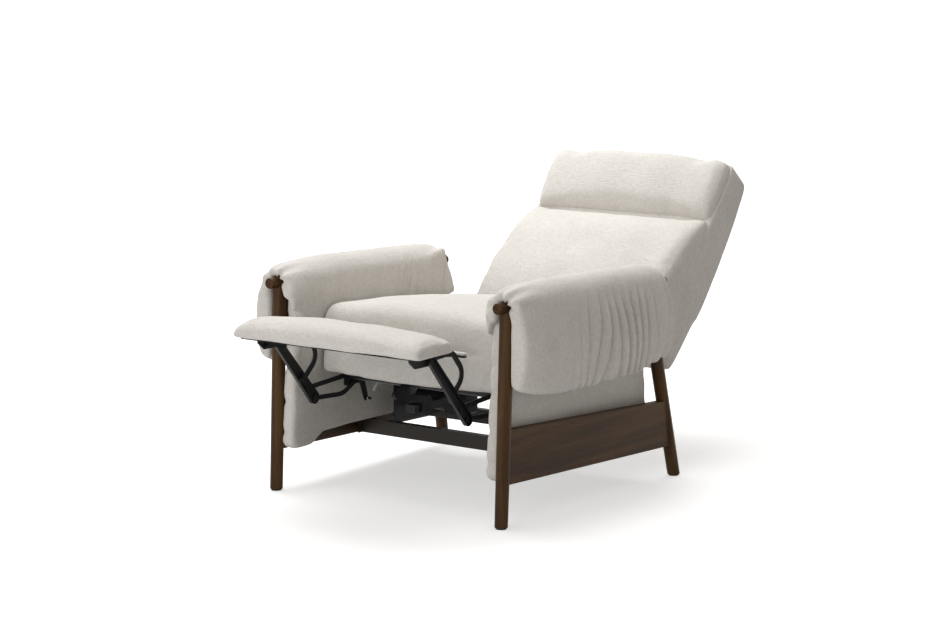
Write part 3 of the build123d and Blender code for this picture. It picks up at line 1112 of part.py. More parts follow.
def back_strut():
    """Linear strut that tilts the back: clevises, body with its motor, and rod."""
    low = Vector(STRUT_X, *STRUT_LOW)
    high = Vector(STRUT_X, *back_place(STRUT_EYE_ALONG, STRUT_EYE_DEPTH))
    way = (high - low).normalized()
    length = (high - low).length
    frame = Plane(origin=low, x_dir=(1, 0, 0), z_dir=way).location
    up = (Align.CENTER, Align.CENTER, Align.MIN)
    eye_start = STRUT_X - STRUT_EYE_WIDTH / 2
    eye_end = STRUT_X + STRUT_EYE_WIDTH / 2
    eye_low = cross_pin(STRUT_LOW, STRUT_EYE_RADIUS, eye_start, eye_end)
    body = frame * (Pos(0, 0, STRUT_EYE_RADIUS) * Cylinder(STRUT_BODY_RADIUS, STRUT_BODY_LENGTH, align=up))
    neck = frame * Cylinder(STRUT_EYE_WIDTH / 2, STRUT_EYE_RADIUS + STRUT_NECK, align=up)
    bore_start = STRUT_EYE_RADIUS + STRUT_BODY_LENGTH - STRUT_SOCKET
    hole = Cylinder(STRUT_ROD_RADIUS + BORE_GAP, STRUT_SOCKET + OVERRUN, align=up)
    bore = frame * (Pos(0, 0, bore_start) * hole)
    motor_side = STRUT_BODY_RADIUS + STRUT_MOTOR_RADIUS - STRUT_MOTOR_DROP
    motor = Cylinder(STRUT_MOTOR_RADIUS, STRUT_MOTOR_LENGTH, align=up)
    motor = frame * (Pos(motor_side, 0, STRUT_EYE_RADIUS + STRUT_NECK) * motor)
    body = body + neck + eye_low + motor - bore
    body -= cross_pin(STRUT_LOW, STRUT_PIN_RADIUS + BORE_GAP, STRUT_X - OVERRUN, STRUT_X + OVERRUN)
    parts["back_strut_body"] = body
    rod_start = bore_start + SEAT_GAP
    rod_length = length - rod_start - STRUT_EYE_RADIUS / 2
    rod = frame * (Pos(0, 0, rod_start) * Cylinder(STRUT_ROD_RADIUS, rod_length, align=up))
    place = (high.Y, high.Z)
    rod += cross_pin(place, STRUT_EYE_RADIUS, eye_start, eye_end)
    parts["back_strut_rod"] = rod

    ear = STRUT_EYE_WIDTH / 2 + LAYER_GAP
    base_low = rail_top
    centre = REAR_CROSS_RAIL + CROSS_RAIL_DEPTH / 2
    half = STRUT_EYE_RADIUS
    wall = CLEVIS_WALL
    clevis = block(
        (STRUT_X - ear - wall, centre - half, base_low),
        (STRUT_X + ear + wall, centre + half, base_low + CLEVIS_BASE),
    )
    pin_y, pin_z = STRUT_LOW
    cheek = Polygon(
        (centre - half, base_low),
        (centre + half, base_low),
        (pin_y + half, pin_z),
        (pin_y - half, pin_z),
        align=None,
    ) + disc(STRUT_LOW, half)
    for x in (STRUT_X - ear - wall, STRUT_X + ear):
        clevis += side_plate(cheek, x, x + wall)
    clevis -= cross_pin(STRUT_LOW, STRUT_PIN_RADIUS + BORE_GAP, STRUT_X - OVERRUN, STRUT_X + OVERRUN)
    parts["rear_cross_rail"] = parts["rear_cross_rail"] + clevis
    reach = ear + wall + SEAT_GAP
    pin = cross_pin(STRUT_LOW, STRUT_PIN_RADIUS, STRUT_X - reach, STRUT_X + reach)
    for x in (STRUT_X - reach - RIVET_HEAD, STRUT_X + reach):
        pin += cross_pin(STRUT_LOW, STRUT_PIN_RADIUS + RIVET_HEAD, x, x + RIVET_HEAD)
    parts["pivot_pins"] = group(parts["pivot_pins"], pin)

    front = BACK_CORE + SEAT_GAP
    back = front + BACK_RAIL_THICKNESS
    ears = []
    for x in (STRUT_X - ear - wall, STRUT_X + ear):
        outline = Polygon(
            (BACK_FRAME_LOW - SEAT_GAP, -front),
            (BACK_FRAME_LOW - SEAT_GAP, -back),
            (STRUT_EYE_ALONG, -STRUT_EYE_DEPTH - half),
            (STRUT_EYE_ALONG, -STRUT_EYE_DEPTH + half),
            align=None,
        ) + disc((STRUT_EYE_ALONG, -STRUT_EYE_DEPTH), half)
        ears.append(extrude(back_frame(x) * outline, amount=wall, dir=(1, 0, 0)))
    parts["back_brackets"] = group(parts["back_brackets"], *ears)
    room = back_block(
        STRUT_X - ear - wall - STRUT_ROOM,
        STRUT_X + ear + wall + STRUT_ROOM,
        -OVERRUN,
        BACK_FRAME_LOW + SEAT_GAP,
        BACK_REAR_MID + OVERRUN,
        BACK_CORE - OVERRUN,
    )
    parts["back_shell"] = parts["back_shell"] - room
    room = back_block(
        STRUT_X - ear - wall - STRUT_ROOM,
        STRUT_X + ear + wall + STRUT_ROOM,
        -OVERRUN,
        STRUT_EYE_ALONG + half + STRUT_ROOM,
        BACK_CORE + OVERRUN,
        STRUT_EYE_DEPTH - half - STRUT_FRONT_ROOM,
    )
    parts["back_cushion"] = parts["back_cushion"] - room


def pad_section(x, grow, tuck):
    """Side view of the footrest pad, with a slot in its underside for the board."""
    front = PAD_FRONT + tuck
    rear = PAD_REAR - tuck
    top = PAD_TOP + PAD_CROWN * grow - tuck
    middle = ((front + rear) / 2, top)
    front_low = (front + PAD_EDGE / 2, PAD_BOTTOM)
    rear_low = (rear - PAD_EDGE / 2, PAD_BOTTOM)
    front_high = (front + PAD_EDGE, top - PAD_EDGE / 2)
    rear_high = (rear - PAD_EDGE, top - PAD_EDGE / 2)
    lines = ThreePointArc(front_low, (front, (PAD_BOTTOM + top - PAD_EDGE) / 2), front_high).edges()
    lines += ThreePointArc(front_high, middle, rear_high).edges()
    lines += ThreePointArc(rear_high, (rear, (PAD_BOTTOM + top - PAD_EDGE) / 2), rear_low).edges()
    lines += Polyline(rear_low, front_low).edges()
    return side_sketch(x) * make_face(lines)


def footrest():
    """Padded footrest on its board, its side brackets, and the middle panel on its hinge."""
    sections = []
    for share, grow, tuck in soft_stations():
        sections.append(pad_section(PAD_HALF_WIDTH * share, grow, PAD_SIDE_TUCK * tuck))
    pad = loft(sections)
    board_top = PAD_BOARD_LOW + PAD_BOARD_THICKNESS
    pad -= block(
        (-PAD_BOARD_HALF_WIDTH - SEAT_GAP, PAD_BOARD_FRONT - SEAT_GAP, PAD_BOARD_LOW - OVERRUN),
        (PAD_BOARD_HALF_WIDTH + SEAT_GAP, PAD_BOARD_REAR + SEAT_GAP, board_top + SEAT_GAP),
    )
    parts["footrest_pad"] = pad
    parts["footrest_board"] = block(
        (-PAD_BOARD_HALF_WIDTH, PAD_BOARD_FRONT, PAD_BOARD_LOW),
        (PAD_BOARD_HALF_WIDTH, PAD_BOARD_REAR, board_top),
    )
    top = PAD_BOARD_LOW - SEAT_GAP
    low = PAD_PIVOT[1] - EYE_RADIUS
    outline = Polygon(
        (PAD_BRACKET_FRONT, top),
        (PAD_BRACKET_FRONT, top - EYE_RADIUS),
        (PAD_CONTROL_PIVOT[0] - EYE_RADIUS, low),
        (PAD_PIVOT[0] + EYE_RADIUS, low),
        (PAD_BRACKET_REAR, top),
        align=None,
    )
    outline = fillet(outline.vertices().group_by(Axis.Y)[0], EYE_RADIUS / 2)
    bracket = side_plate(outline, link_x, link_x + PLATE)
    flange_x = link_x + PAD_BRACKET_FLANGE
    bracket += block((link_x, PAD_BRACKET_FRONT, top - PLATE), (flange_x, PAD_BRACKET_REAR, top))
    bracket -= cross_pin(PAD_PIVOT, RIVET_RADIUS + BORE_GAP, link_x - OVERRUN, link_x + OVERRUN)
    parts["footrest_brackets"] = pair(bracket)

    hinge_y, hinge_z = PANEL_HINGE
    wall = PANEL_HINGE_WALL
    barrel = PANEL_HINGE_RADIUS + BORE_GAP + wall
    knuckle = disc(PANEL_HINGE, barrel)
    arm = Polygon(
        (PAD_BOARD_REAR - PANEL_KNUCKLE, top),
        (PAD_BOARD_REAR - PANEL_KNUCKLE, top - wall),
        (hinge_y - barrel, top - wall),
        (hinge_y - barrel, hinge_z),
        (hinge_y, hinge_z),
        (hinge_y, top),
        align=None,
    )
    leaf = side_plate(arm + knuckle, PANEL_HINGE_X, PANEL_HINGE_X + PANEL_KNUCKLE)
    bore = cross_pin(PANEL_HINGE, PANEL_HINGE_RADIUS + BORE_GAP, -PAD_HALF_WIDTH, PAD_HALF_WIDTH)
    leaf -= bore
    slope = radians(MIDDLE_SLOPE)
    frame_origin = Vector(0, hinge_y, hinge_z)
    along = Vector(0, cos(slope), -sin(slope))
    panel_plane = Plane(origin=frame_origin, x_dir=(1, 0, 0), z_dir=Vector(1, 0, 0).cross(along))
    outline = Polygon(
        (-MIDDLE_NARROW, MIDDLE_START + barrel),
        (MIDDLE_NARROW, MIDDLE_START + barrel),
        (MIDDLE_NARROW, MIDDLE_WIDE_START),
        (MIDDLE_WIDE, MIDDLE_WIDE_START),
        (MIDDLE_WIDE - MIDDLE_TAPER, MIDDLE_LENGTH),
        (-MIDDLE_WIDE + MIDDLE_TAPER, MIDDLE_LENGTH),
        (-MIDDLE_WIDE, MIDDLE_WIDE_START),
        (-MIDDLE_NARROW, MIDDLE_WIDE_START),
        align=None,
    )
    under = MIDDLE_BELOW - MIDDLE_BOARD
    cover = extrude(panel_plane.offset(-under) * outline, amount=MIDDLE_ABOVE + under)
    up = panel_plane.z_dir
    level = [(edge.center() - frame_origin).dot(up) - MIDDLE_ABOVE for edge in cover.edges()]
    rim = [edge for edge, height in zip(cover.edges(), level) if abs(height) < SEAT_GAP]
    parts["middle_panel"] = fillet(rim, MIDDLE_ROUND)
    board = extrude(panel_plane.offset(-MIDDLE_BELOW) * outline, amount=MIDDLE_BOARD - SEAT_GAP)
    start = PANEL_HINGE_X + PANEL_KNUCKLE + SEAT_GAP
    end = start + PANEL_KNUCKLE / 2
    strap_end = MIDDLE_START + barrel + EYE_RADIUS
    for low_x, high_x in ((start, end), (-end, -start)):
        strap = Polygon((low_x, 0), (high_x, 0), (high_x, strap_end), (low_x, strap_end), align=None)
        board += extrude(panel_plane.offset(-MIDDLE_BELOW) * strap, amount=MIDDLE_BOARD - SEAT_GAP)
        board += cross_pin(PANEL_HINGE, barrel, low_x, high_x)
    board -= bore
    parts["middle_panel_board"] = board
    pin = cross_pin(PANEL_HINGE, PANEL_HINGE_RADIUS, PANEL_HINGE_X, end)
    parts["panel_hinges"] = group(pair(leaf), pair(pin))


def switch():
    """Button plate on the outside of the right panel, with its housing and two buttons."""
    face = -panel_outer - SEAT_GAP
    outline = RectangleRounded(SWITCH_WIDTH, SWITCH_HEIGHT, SWITCH_ROUND)
    sketch = Pos(SWITCH_Y, SWITCH_Z) * outline
    plate = extrude(side_sketch(face - SWITCH_THICKNESS) * sketch, amount=SWITCH_THICKNESS)
    half_height = (SWITCH_HEIGHT - SWITCH_BODY_INSET) / 2
    half_width = (SWITCH_WIDTH - SWITCH_BODY_INSET) / 2
    deep = face + SWITCH_BODY_DEPTH
    body = block(
        (face, SWITCH_Y - half_width, SWITCH_Z - half_height),
        (deep, SWITCH_Y + half_width, SWITCH_Z + half_height),
    )
    hole_radius = BUTTON_RADIUS + BUTTON_CLEARANCE
    stem_end = face + BUTTON_STEM + BUTTON_TRAVEL + BUTTON_CLEARANCE
    buttons = (("button_up", SWITCH_Z + BUTTON_SPACING / 2), ("button_down", SWITCH_Z - BUTTON_SPACING / 2))
    housing = plate + body
    for name, z in buttons:
        place = (SWITCH_Y, z)
        housing -= cross_pin(place, hole_radius, face - SWITCH_THICKNESS - OVERRUN, stem_end)
        button = cross_pin(place, BUTTON_RADIUS, face - SWITCH_THICKNESS - BUTTON_PROUD, face + BUTTON_STEM)
        rim = button.edges().group_by(Axis.X)[0]
        parts[name] = fillet(rim, BUTTON_CLEARANCE * 2)
    parts["switch_housing"] = housing


def bolts():
    """Bolts that hold the side frames to the seat box and the aprons to their rails."""
    heads = []
    bolt_z = (BOX_LOW + SIDE_FRAME_HIGH) / 2
    head_start = FRAME_X - SEAT_GAP - BOLT_HEAD
    step = (BOX_REAR - BOX_RAIL - SIDE_FRAME_LEG_FRONT) / (BOLT_COUNT - 1)
    for index in range(BOLT_COUNT):
        y = SIDE_FRAME_LEG_FRONT - BOLT_INSET + index * step
        heads.append(cross_pin((y, bolt_z), BOLT_HEAD_RADIUS, head_start, head_start + BOLT_HEAD))
    parts["seat_bolts"] = group(*[pair(head) for head in heads])


wooden_frame()
side_upholstery()
cross_rails()
side_frames()
link_plates()
anchors_and_springs()
torque_tube()
footrest_drive()
seat_box()
seat_cushion()
back_unit()
back_pivots()
back_strut()
footrest()
switch()
bolts()

low_corner = [min(getattr(p.bounding_box().min, a) for p in parts.values()) for a in "XYZ"]
high_corner = [max(getattr(p.bounding_box().max, a) for p in parts.values()) for a in "XYZ"]
shift = Vector(-(low_corner[0] + high_corner[0]) / 2, -(low_corner[1] + high_corner[1]) / 2, -low_corner[2])
size = [round(high - low, 1) for low, high in zip(low_corner, high_corner)]
print("moved by", shift, "size", size, "nodes", len(parts))
for name, solid in parts.items():
    export_step(Pos(shift.X, shift.Y, shift.Z) * solid, f"parts/{name}.step")
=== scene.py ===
import json
import math

import bmesh
import bpy
from mathutils import Matrix, Vector, noise

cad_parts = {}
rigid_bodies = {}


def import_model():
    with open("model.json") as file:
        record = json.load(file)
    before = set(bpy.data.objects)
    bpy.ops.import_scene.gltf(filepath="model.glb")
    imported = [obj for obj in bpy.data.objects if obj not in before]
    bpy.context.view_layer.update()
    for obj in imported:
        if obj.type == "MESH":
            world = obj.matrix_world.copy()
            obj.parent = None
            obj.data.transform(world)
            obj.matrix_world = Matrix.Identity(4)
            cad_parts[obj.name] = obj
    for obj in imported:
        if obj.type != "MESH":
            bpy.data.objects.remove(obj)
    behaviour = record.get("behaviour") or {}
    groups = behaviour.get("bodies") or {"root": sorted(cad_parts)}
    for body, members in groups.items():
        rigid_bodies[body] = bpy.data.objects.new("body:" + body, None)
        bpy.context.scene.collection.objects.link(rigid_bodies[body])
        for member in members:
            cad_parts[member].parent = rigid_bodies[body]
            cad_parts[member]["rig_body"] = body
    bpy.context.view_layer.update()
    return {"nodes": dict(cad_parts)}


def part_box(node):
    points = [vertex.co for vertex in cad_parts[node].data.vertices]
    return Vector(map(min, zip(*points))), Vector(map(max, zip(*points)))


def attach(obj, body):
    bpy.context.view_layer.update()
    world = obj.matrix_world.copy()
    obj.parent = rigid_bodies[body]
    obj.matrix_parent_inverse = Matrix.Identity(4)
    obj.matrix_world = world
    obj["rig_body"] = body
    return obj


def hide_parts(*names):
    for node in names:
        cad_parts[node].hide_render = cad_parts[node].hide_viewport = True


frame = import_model()

# The camera stands at the sitter's left, ahead of the chair and well above its back.
# Its place was found by fitting the chair's measured points to the photograph.
CAMERA_PLACE = (3.864, -5.452, 1.498)
CAMERA_TURN = 36.12
CAMERA_TILT = 9.07
CAMERA_LENS = 97.2
CAMERA_SENSOR = 36.0
CAMERA_REACH = 900.0

scene = bpy.context.scene
scene.view_settings.view_transform = "Standard"
camera_data = bpy.data.cameras.new("photo_camera")
camera_data.lens = CAMERA_LENS
camera_data.sensor_width = CAMERA_SENSOR
camera_data.clip_end = CAMERA_REACH
camera = bpy.data.objects.new("photo_camera", camera_data)
camera.location = CAMERA_PLACE
camera.rotation_euler = (math.radians(90 - CAMERA_TILT), 0, math.radians(CAMERA_TURN))
scene.collection.objects.link(camera)
scene.camera = camera


# The chair stands on a seamless white studio sweep, lit by soft lamps above and ahead of it.
# Only the floor near the chair shows a shade: from SWEEP_NEAR to SWEEP_FAR metres away the
# sweep's own glow rises from the share SWEEP_LIFT_SHARE to plain white.
SWEEP_SIZE = 800.0
SWEEP_COLOR = (0.74, 0.74, 0.74)
SWEEP_ROUGH = 0.95
SWEEP_NEAR = 1.3
SWEEP_FAR = 2.9
SWEEP_LIFT_SHARE = 0.51
SEEN_RAYS = ("Is Camera Ray", "Is Glossy Ray", "Is Transmission Ray")
WORLD_COLOR = (0.306, 0.289, 0.262, 1.0)
BLACK = (0, 0, 0, 1)
WHITE = (1, 1, 1, 1)
# Each lamp's name, place, power in watts and width in metres.
LAMPS = (
    ("top_lamp", (-0.9, 0.5, 3.3), 114.0, 2.6),
    ("front_lamp", (-1.6, -3.4, 2.6), 19.0, 2.6),
    ("fold_lamp", (1.3, -4.4, 1.9), 15.0, 0.9),
    ("low_lamp", (0.0, -4.6, 0.7), 36.0, 1.4),
)


class Value:
    """A number or colour on its way through a material; sums with it add Math nodes."""

    def __init__(self, nodes, socket):
        self.nodes = nodes
        self.socket = socket

    def math(self, operation, first, second=None):
        inputs = {0: first} if second is None else {0: first, 1: second}
        return self.nodes.node("ShaderNodeMath", {"operation": operation}, inputs)

    def __add__(self, other):
        return self.math("ADD", self, other)

    def __mul__(self, other):
        return self.math("MULTIPLY", self, other)

    __radd__ = __add__
    __rmul__ = __mul__

    def sine(self):
        return self.math("SINE", self)

    def length(self):
        return self.nodes.node("ShaderNodeVectorMath", {"operation": "LENGTH"}, {0: self}, "Value")

    def spread(self, low, high):
        """The value drawn out so that low becomes 0 and high becomes 1."""
        inputs = {"Value": self, "From Min": low, "From Max": high}
        return self.nodes.node("ShaderNodeMapRange", {"interpolation_type": "SMOOTHSTEP"}, inputs)


class Nodes:
    """The nodes behind a surface finish, or behind the studio's own light."""

    def __init__(self, tree):
        self.tree = tree

    def node(self, kind, settings, inputs, output=0):
        """Adds a node, sets it up, joins its inputs and gives back one of its outputs."""
        made = self.tree.nodes.new(kind)
        for key, value in settings.items():
            setattr(made, key, value)
        for key, value in inputs.items():
            if isinstance(value, Value):
                self.tree.links.new(value.socket, made.inputs[key])
            else:
                made.inputs[key].default_value = value
        return Value(self, made.outputs[output])

    def seen(self):
        """1 for what the camera sees, straight, in a gloss or through glass; 0 for what lights the chair."""
        straight, glossy, clear = [self.node("ShaderNodeLightPath", {}, {}, ray) for ray in SEEN_RAYS]
        rays = straight + glossy + clear
        return rays.math("MINIMUM", rays, 1.0)

    def blend(self, share, first, second):
        """Two colours mixed; 6, 7 and 2 are the Mix node's sockets for colours."""
        return self.node("ShaderNodeMix", {"data_type": "RGBA"}, {0: share, 6: first, 7: second}, 2)


class Finish(Nodes):
    """A surface finish: a material and the nodes behind it."""

    def __init__(self, name, color, rough, metal=0.0):
        self.material = bpy.data.materials.new(name)
        self.material.use_nodes = True
        super().__init__(self.material.node_tree)
        self.shader = self.tree.nodes["Principled BSDF"]
        self.shader.inputs["Base Color"].default_value = (*color, 1.0)
        self.shader.inputs["Roughness"].default_value = rough
        self.shader.inputs["Metallic"].default_value = metal
        self.place = self.node("ShaderNodeTexCoord", {}, {}, "Object")

    def grain(self, scale, detail, stretch=(1, 1, 1)):
        """Noise on the piece's own place, drawn out along some of its directions."""
        spot = self.node("ShaderNodeMapping", {}, {"Vector": self.place, "Scale": stretch})
        return self.node("ShaderNodeTexNoise", {}, {"Vector": spot, "Scale": scale, "Detail": detail}, "Fac")

    def feed(self, name, value):
        self.tree.links.new(value.socket, self.shader.inputs[name])

    def bump(self, height, depth, strength):
        inputs = {"Height": height, "Distance": depth, "Strength": strength}
        self.feed("Normal", self.node("ShaderNodeBump", {}, inputs, "Normal"))


sweep = Finish("studio_sweep", SWEEP_COLOR, SWEEP_ROUGH)
away = sweep.place.length().spread(SWEEP_NEAR, SWEEP_FAR)
glow = sweep.seen() * (away * (1 - SWEEP_LIFT_SHARE) + SWEEP_LIFT_SHARE)
sweep.shader.inputs["Emission Strength"].default_value = 1.0
sweep.feed("Emission Color", sweep.blend(glow, BLACK, WHITE))
shape = bmesh.new()
bmesh.ops.create_grid(shape, x_segments=1, y_segments=1, size=SWEEP_SIZE / 2)
sweep_mesh = bpy.data.meshes.new("studio_sweep")
shape.to_mesh(sweep_mesh)
shape.free()
sweep_mesh.materials.append(sweep.material)
studio_floor = bpy.data.objects.new("studio_sweep", sweep_mesh)
scene.collection.objects.link(studio_floor)

world = bpy.data.worlds.new("studio")
scene.world = world
world.use_nodes = True
sky = Nodes(world.node_tree)
sky_color = sky.blend(sky.seen(), WORLD_COLOR, WHITE)
sky.tree.links.new(sky_color.socket, sky.tree.nodes["Background"].inputs["Color"])

for lamp_name, lamp_place, lamp_power, lamp_size in LAMPS:
    lamp_data = bpy.data.lights.new(lamp_name, "AREA")
    lamp_data.size = lamp_size
    lamp_data.energy = lamp_power
    lamp = bpy.data.objects.new(lamp_name, lamp_data)
    lamp.location = lamp_place
    lamp.rotation_euler = (-Vector(lamp_place)).to_track_quat("-Z", "Y").to_euler()
    scene.collection.objects.link(lamp)


# The show frame is dark walnut: round tapered legs, round arm rails and flat boards.
# Grain runs along each piece, under a satin lacquer with open pores.
WALNUT_DARK = (0.026, 0.011, 0.003, 1.0)
WALNUT_LIGHT = (0.104, 0.052, 0.017, 1.0)
WALNUT_ROUGH = 0.42
WALNUT_SPECULAR = 0.12
GRAIN_STRETCH = 0.05
FIGURE_SCALE = 34.0
FIGURE_DETAIL = 6.0
FIGURE_SPREAD = (0.30, 0.74)
FIGURE_SHARE = 0.75
FIGURE_LIFT_SHARE = 0.4
PORE_SCALE = 520.0
PORE_DETAIL = 3.0
PORE_SPREAD = (0.35, 0.75)
PORE_GLOSS = 0.2
PORE_DEPTH = 0.0003
PORE_STRENGTH = 0.35


def walnut(name, along):
    """Walnut whose grain runs along X, Y or Z, which are 0, 1 and 2."""
    finish = Finish(name, WALNUT_DARK[:3], WALNUT_ROUGH)
    stretch = [1.0, 1.0, 1.0]
    stretch[along] = GRAIN_STRETCH
    figure = finish.grain(FIGURE_SCALE, FIGURE_DETAIL, stretch)
    pores = finish.grain(PORE_SCALE, PORE_DETAIL, stretch)
    tone = figure.spread(*FIGURE_SPREAD) * FIGURE_SHARE + pores.spread(*PORE_SPREAD) * (1 - FIGURE_SHARE)
    finish.feed("Base Color", finish.blend(tone, WALNUT_DARK, WALNUT_LIGHT))
    finish.feed("Roughness", pores * PORE_GLOSS + (WALNUT_ROUGH - PORE_GLOSS / 2))
    finish.bump(pores + figure * FIGURE_LIFT_SHARE, PORE_DEPTH, PORE_STRENGTH)
    finish.shader.inputs["Specular IOR Level"].default_value = WALNUT_SPECULAR
    return finish.material


def paint(material, *nodes):
    """Gives CAD nodes their finish."""
    for node in nodes:
        slots = frame["nodes"][node].data.materials
        slots.clear()
        slots.append(material)


upright_walnut = walnut("walnut_upright", along=2)
paint(upright_walnut, "front_leg_left", "front_leg_right", "rear_leg_left", "rear_leg_right")
level_walnut = walnut("walnut_level", along=1)
paint(level_walnut, "arm_rails", "apron_left", "apron_right", "mid_rails")


# Hidden rails and boards are pale plywood and softwood, straight off the saw.
# They show only from below and behind.
TIMBER_PALE = (0.56, 0.42, 0.26, 1.0)
TIMBER_DARK = (0.36, 0.25, 0.14, 1.0)
TIMBER_ROUGH = 0.75
SAW_SCALE = 60.0
SAW_DETAIL = 4.0
SAW_STRETCH = (0.1, 1.0, 1.0)
SAW_SPREAD = (0.3, 0.7)
SAW_DEPTH = 0.0005
SAW_STRENGTH = 0.4

timber = Finish("bare_timber", TIMBER_PALE[:3], TIMBER_ROUGH)
saw_marks = timber.grain(SAW_SCALE, SAW_DETAIL, SAW_STRETCH)
timber.feed("Base Color", timber.blend(saw_marks.spread(*SAW_SPREAD), TIMBER_DARK, TIMBER_PALE))
timber.bump(saw_marks, SAW_DEPTH, SAW_STRENGTH)
paint(timber.material, "seat_front_rail", "seat_rear_rail", "seat_side_rails", "back_stiles", "back_rails")


# Links, brackets and side frames are stamped steel under a black powder coat, and the two
# cross rails are painted brown. The coat has a fine orange peel, and moulded plastics share
# its pebbled look.
BLACK_COAT = (0.008, 0.008, 0.009)
BROWN_PAINT = (0.028, 0.023, 0.019)
BLACK_NYLON = (0.007, 0.007, 0.008)
BUTTON_NYLON = (0.08, 0.08, 0.085)
COAT_PEEL = 900.0
PAINT_PEEL = 700.0
NYLON_PEEL = 500.0
PEEL_DETAIL = 3.0
PEEL_GLOSS = 0.14
PEEL_DEPTH = 0.0003
PEEL_STRENGTH = 0.35
WEAR_TIMES = 25
WEAR_GLOSS = 0.16
COAT_SPECULAR = 0.22


def pebbled(name, color, rough, scale):
    """A coated or moulded surface with a fine pebbled skin, a little uneven in gloss."""
    finish = Finish(name, color, rough)
    peel = finish.grain(scale, PEEL_DETAIL)
    wear = finish.grain(scale / WEAR_TIMES, PEEL_DETAIL)
    gloss = rough - (PEEL_GLOSS + WEAR_GLOSS) / 2
    finish.feed("Roughness", peel * PEEL_GLOSS + wear * WEAR_GLOSS + gloss)
    finish.bump(peel, PEEL_DEPTH, PEEL_STRENGTH)
    finish.shader.inputs["Specular IOR Level"].default_value = COAT_SPECULAR
    return finish.material


black_coat = pebbled("black_coated_steel", BLACK_COAT, rough=0.34, scale=COAT_PEEL)
paint(black_coat, "side_frames", "spring_anchors", "actuator_rail", "actuator_bar", "hinge_plates")
paint(black_coat, "rear_links", "torque_tube", "crank_arm", "control_links", "channel_links")
paint(black_coat, "curved_links", "footrest_brackets", "panel_hinges", "drive_link", "back_brackets")
paint(black_coat, "middle_panel_board")
brown_paint = pebbled("brown_painted_steel", BROWN_PAINT, rough=0.4, scale=PAINT_PEEL)
paint(brown_paint, "front_cross_rail", "rear_cross_rail")
black_nylon = pebbled("black_nylon", BLACK_NYLON, rough=0.5, scale=NYLON_PEEL)
paint(black_nylon, "gearbox", "footrest_motor", "power_inlet", "slide_block", "switch_housing")
paint(black_nylon, "foot_glides", "back_strut_body")
button_nylon = pebbled("button_nylon", BUTTON_NYLON, rough=0.35, scale=NYLON_PEEL)
paint(button_nylon, "button_up", "button_down")


# Springs, screw and strut rod are bright zinc; pins, rivets and bolts are black zinc.
# Both are plated, so their gloss is cloudy.
ZINC_PALE = (0.52, 0.52, 0.53, 1.0)
ZINC_DARK = (0.34, 0.34, 0.36, 1.0)
BLACK_ZINC_PALE = (0.05, 0.05, 0.052, 1.0)
BLACK_ZINC_DARK = (0.03, 0.03, 0.03, 1.0)
PLATING_SCALE = 180.0
PLATING_DETAIL = 3.0
PLATING_GLOSS = 0.2


def plated(name, pale, dark, rough):
    """Cloudy plating on steel."""
    finish = Finish(name, pale[:3], rough, metal=1.0)
    cloud = finish.grain(PLATING_SCALE, PLATING_DETAIL)
    finish.feed("Base Color", finish.blend(cloud, dark, pale))
    finish.feed("Roughness", cloud * PLATING_GLOSS + (rough - PLATING_GLOSS / 2))
    return finish.material


zinc = plated("zinc_plated_steel", ZINC_PALE, ZINC_DARK, rough=0.32)
paint(zinc, "footrest_springs", "lead_screw", "back_strut_rod", "seat_springs", "spring_clips")
black_zinc = plated("black_zinc_steel", BLACK_ZINC_PALE, BLACK_ZINC_DARK, rough=0.35)
paint(black_zinc, "link_studs", "seat_bolts", "pivot_pins", "channel_rivets")


# The arm pillows are slack saddles thrown over the arm rails, in the chair's one cloth:
# a warm off-white weave with slubs. Their outer flaps are gathered along the hem, so the
# cloth falls in upright folds; in front they are tucked tight round the leg.
CLOTH_PALE = (0.736, 0.712, 0.680, 1.0)
CLOTH_DEEP = (0.540, 0.510, 0.468, 1.0)
CLOTH_ROUGH = 0.93
CLOTH_SHEEN = 0.2
CLOTH_SHEEN_ROUGH = 0.5
CLOTH_DEPTH = 0.0007
CLOTH_STRENGTH = 0.7
THREAD_PITCH = 0.0024
THREAD_LIFT_SHARE = 0.3
SLUB_SCALE = 300.0
SLUB_DETAIL = 2.0
SLUB_SPREAD = (0.36, 0.64)
WEFT_STRETCH = (0.2, 1.0, 1.0)
WARP_STRETCH = (1.0, 0.3, 0.3)
CLOUD_SCALE = 10.0
CLOUD_DETAIL = 3.0
CLOUD_SPREAD = (0.3, 0.7)
SLUB_SHARE = 0.42
CLOUD_SHARE = 0.14
THREAD_SHARE = 0.07
PALE_SHARE = 0.31

MERGE_REACH = 0.00005
SMOOTH_FACTOR = 0.5
SKIRT_FACE = 0.3025
SKIRT_THICK = 0.014
SKIRT_HEAD = 0.555
REAR_SKIRT_SLANT = math.radians(16)
# Where each length of skirt starts and ends, counted from the pillow's front or rear; the
# rear one has its own foot and head.
TIP_SKIRT = (0.008, 0.070)
LONG_SKIRT = (0.034, -0.030)
REAR_SKIRT = (-0.104, -0.004)
REAR_SKIRT_RISE = (0.425, 0.565)
REAR_REACH = 0.014
REAR_LENGTH = 0.16
REAR_DROP = (0.01, 0.17)

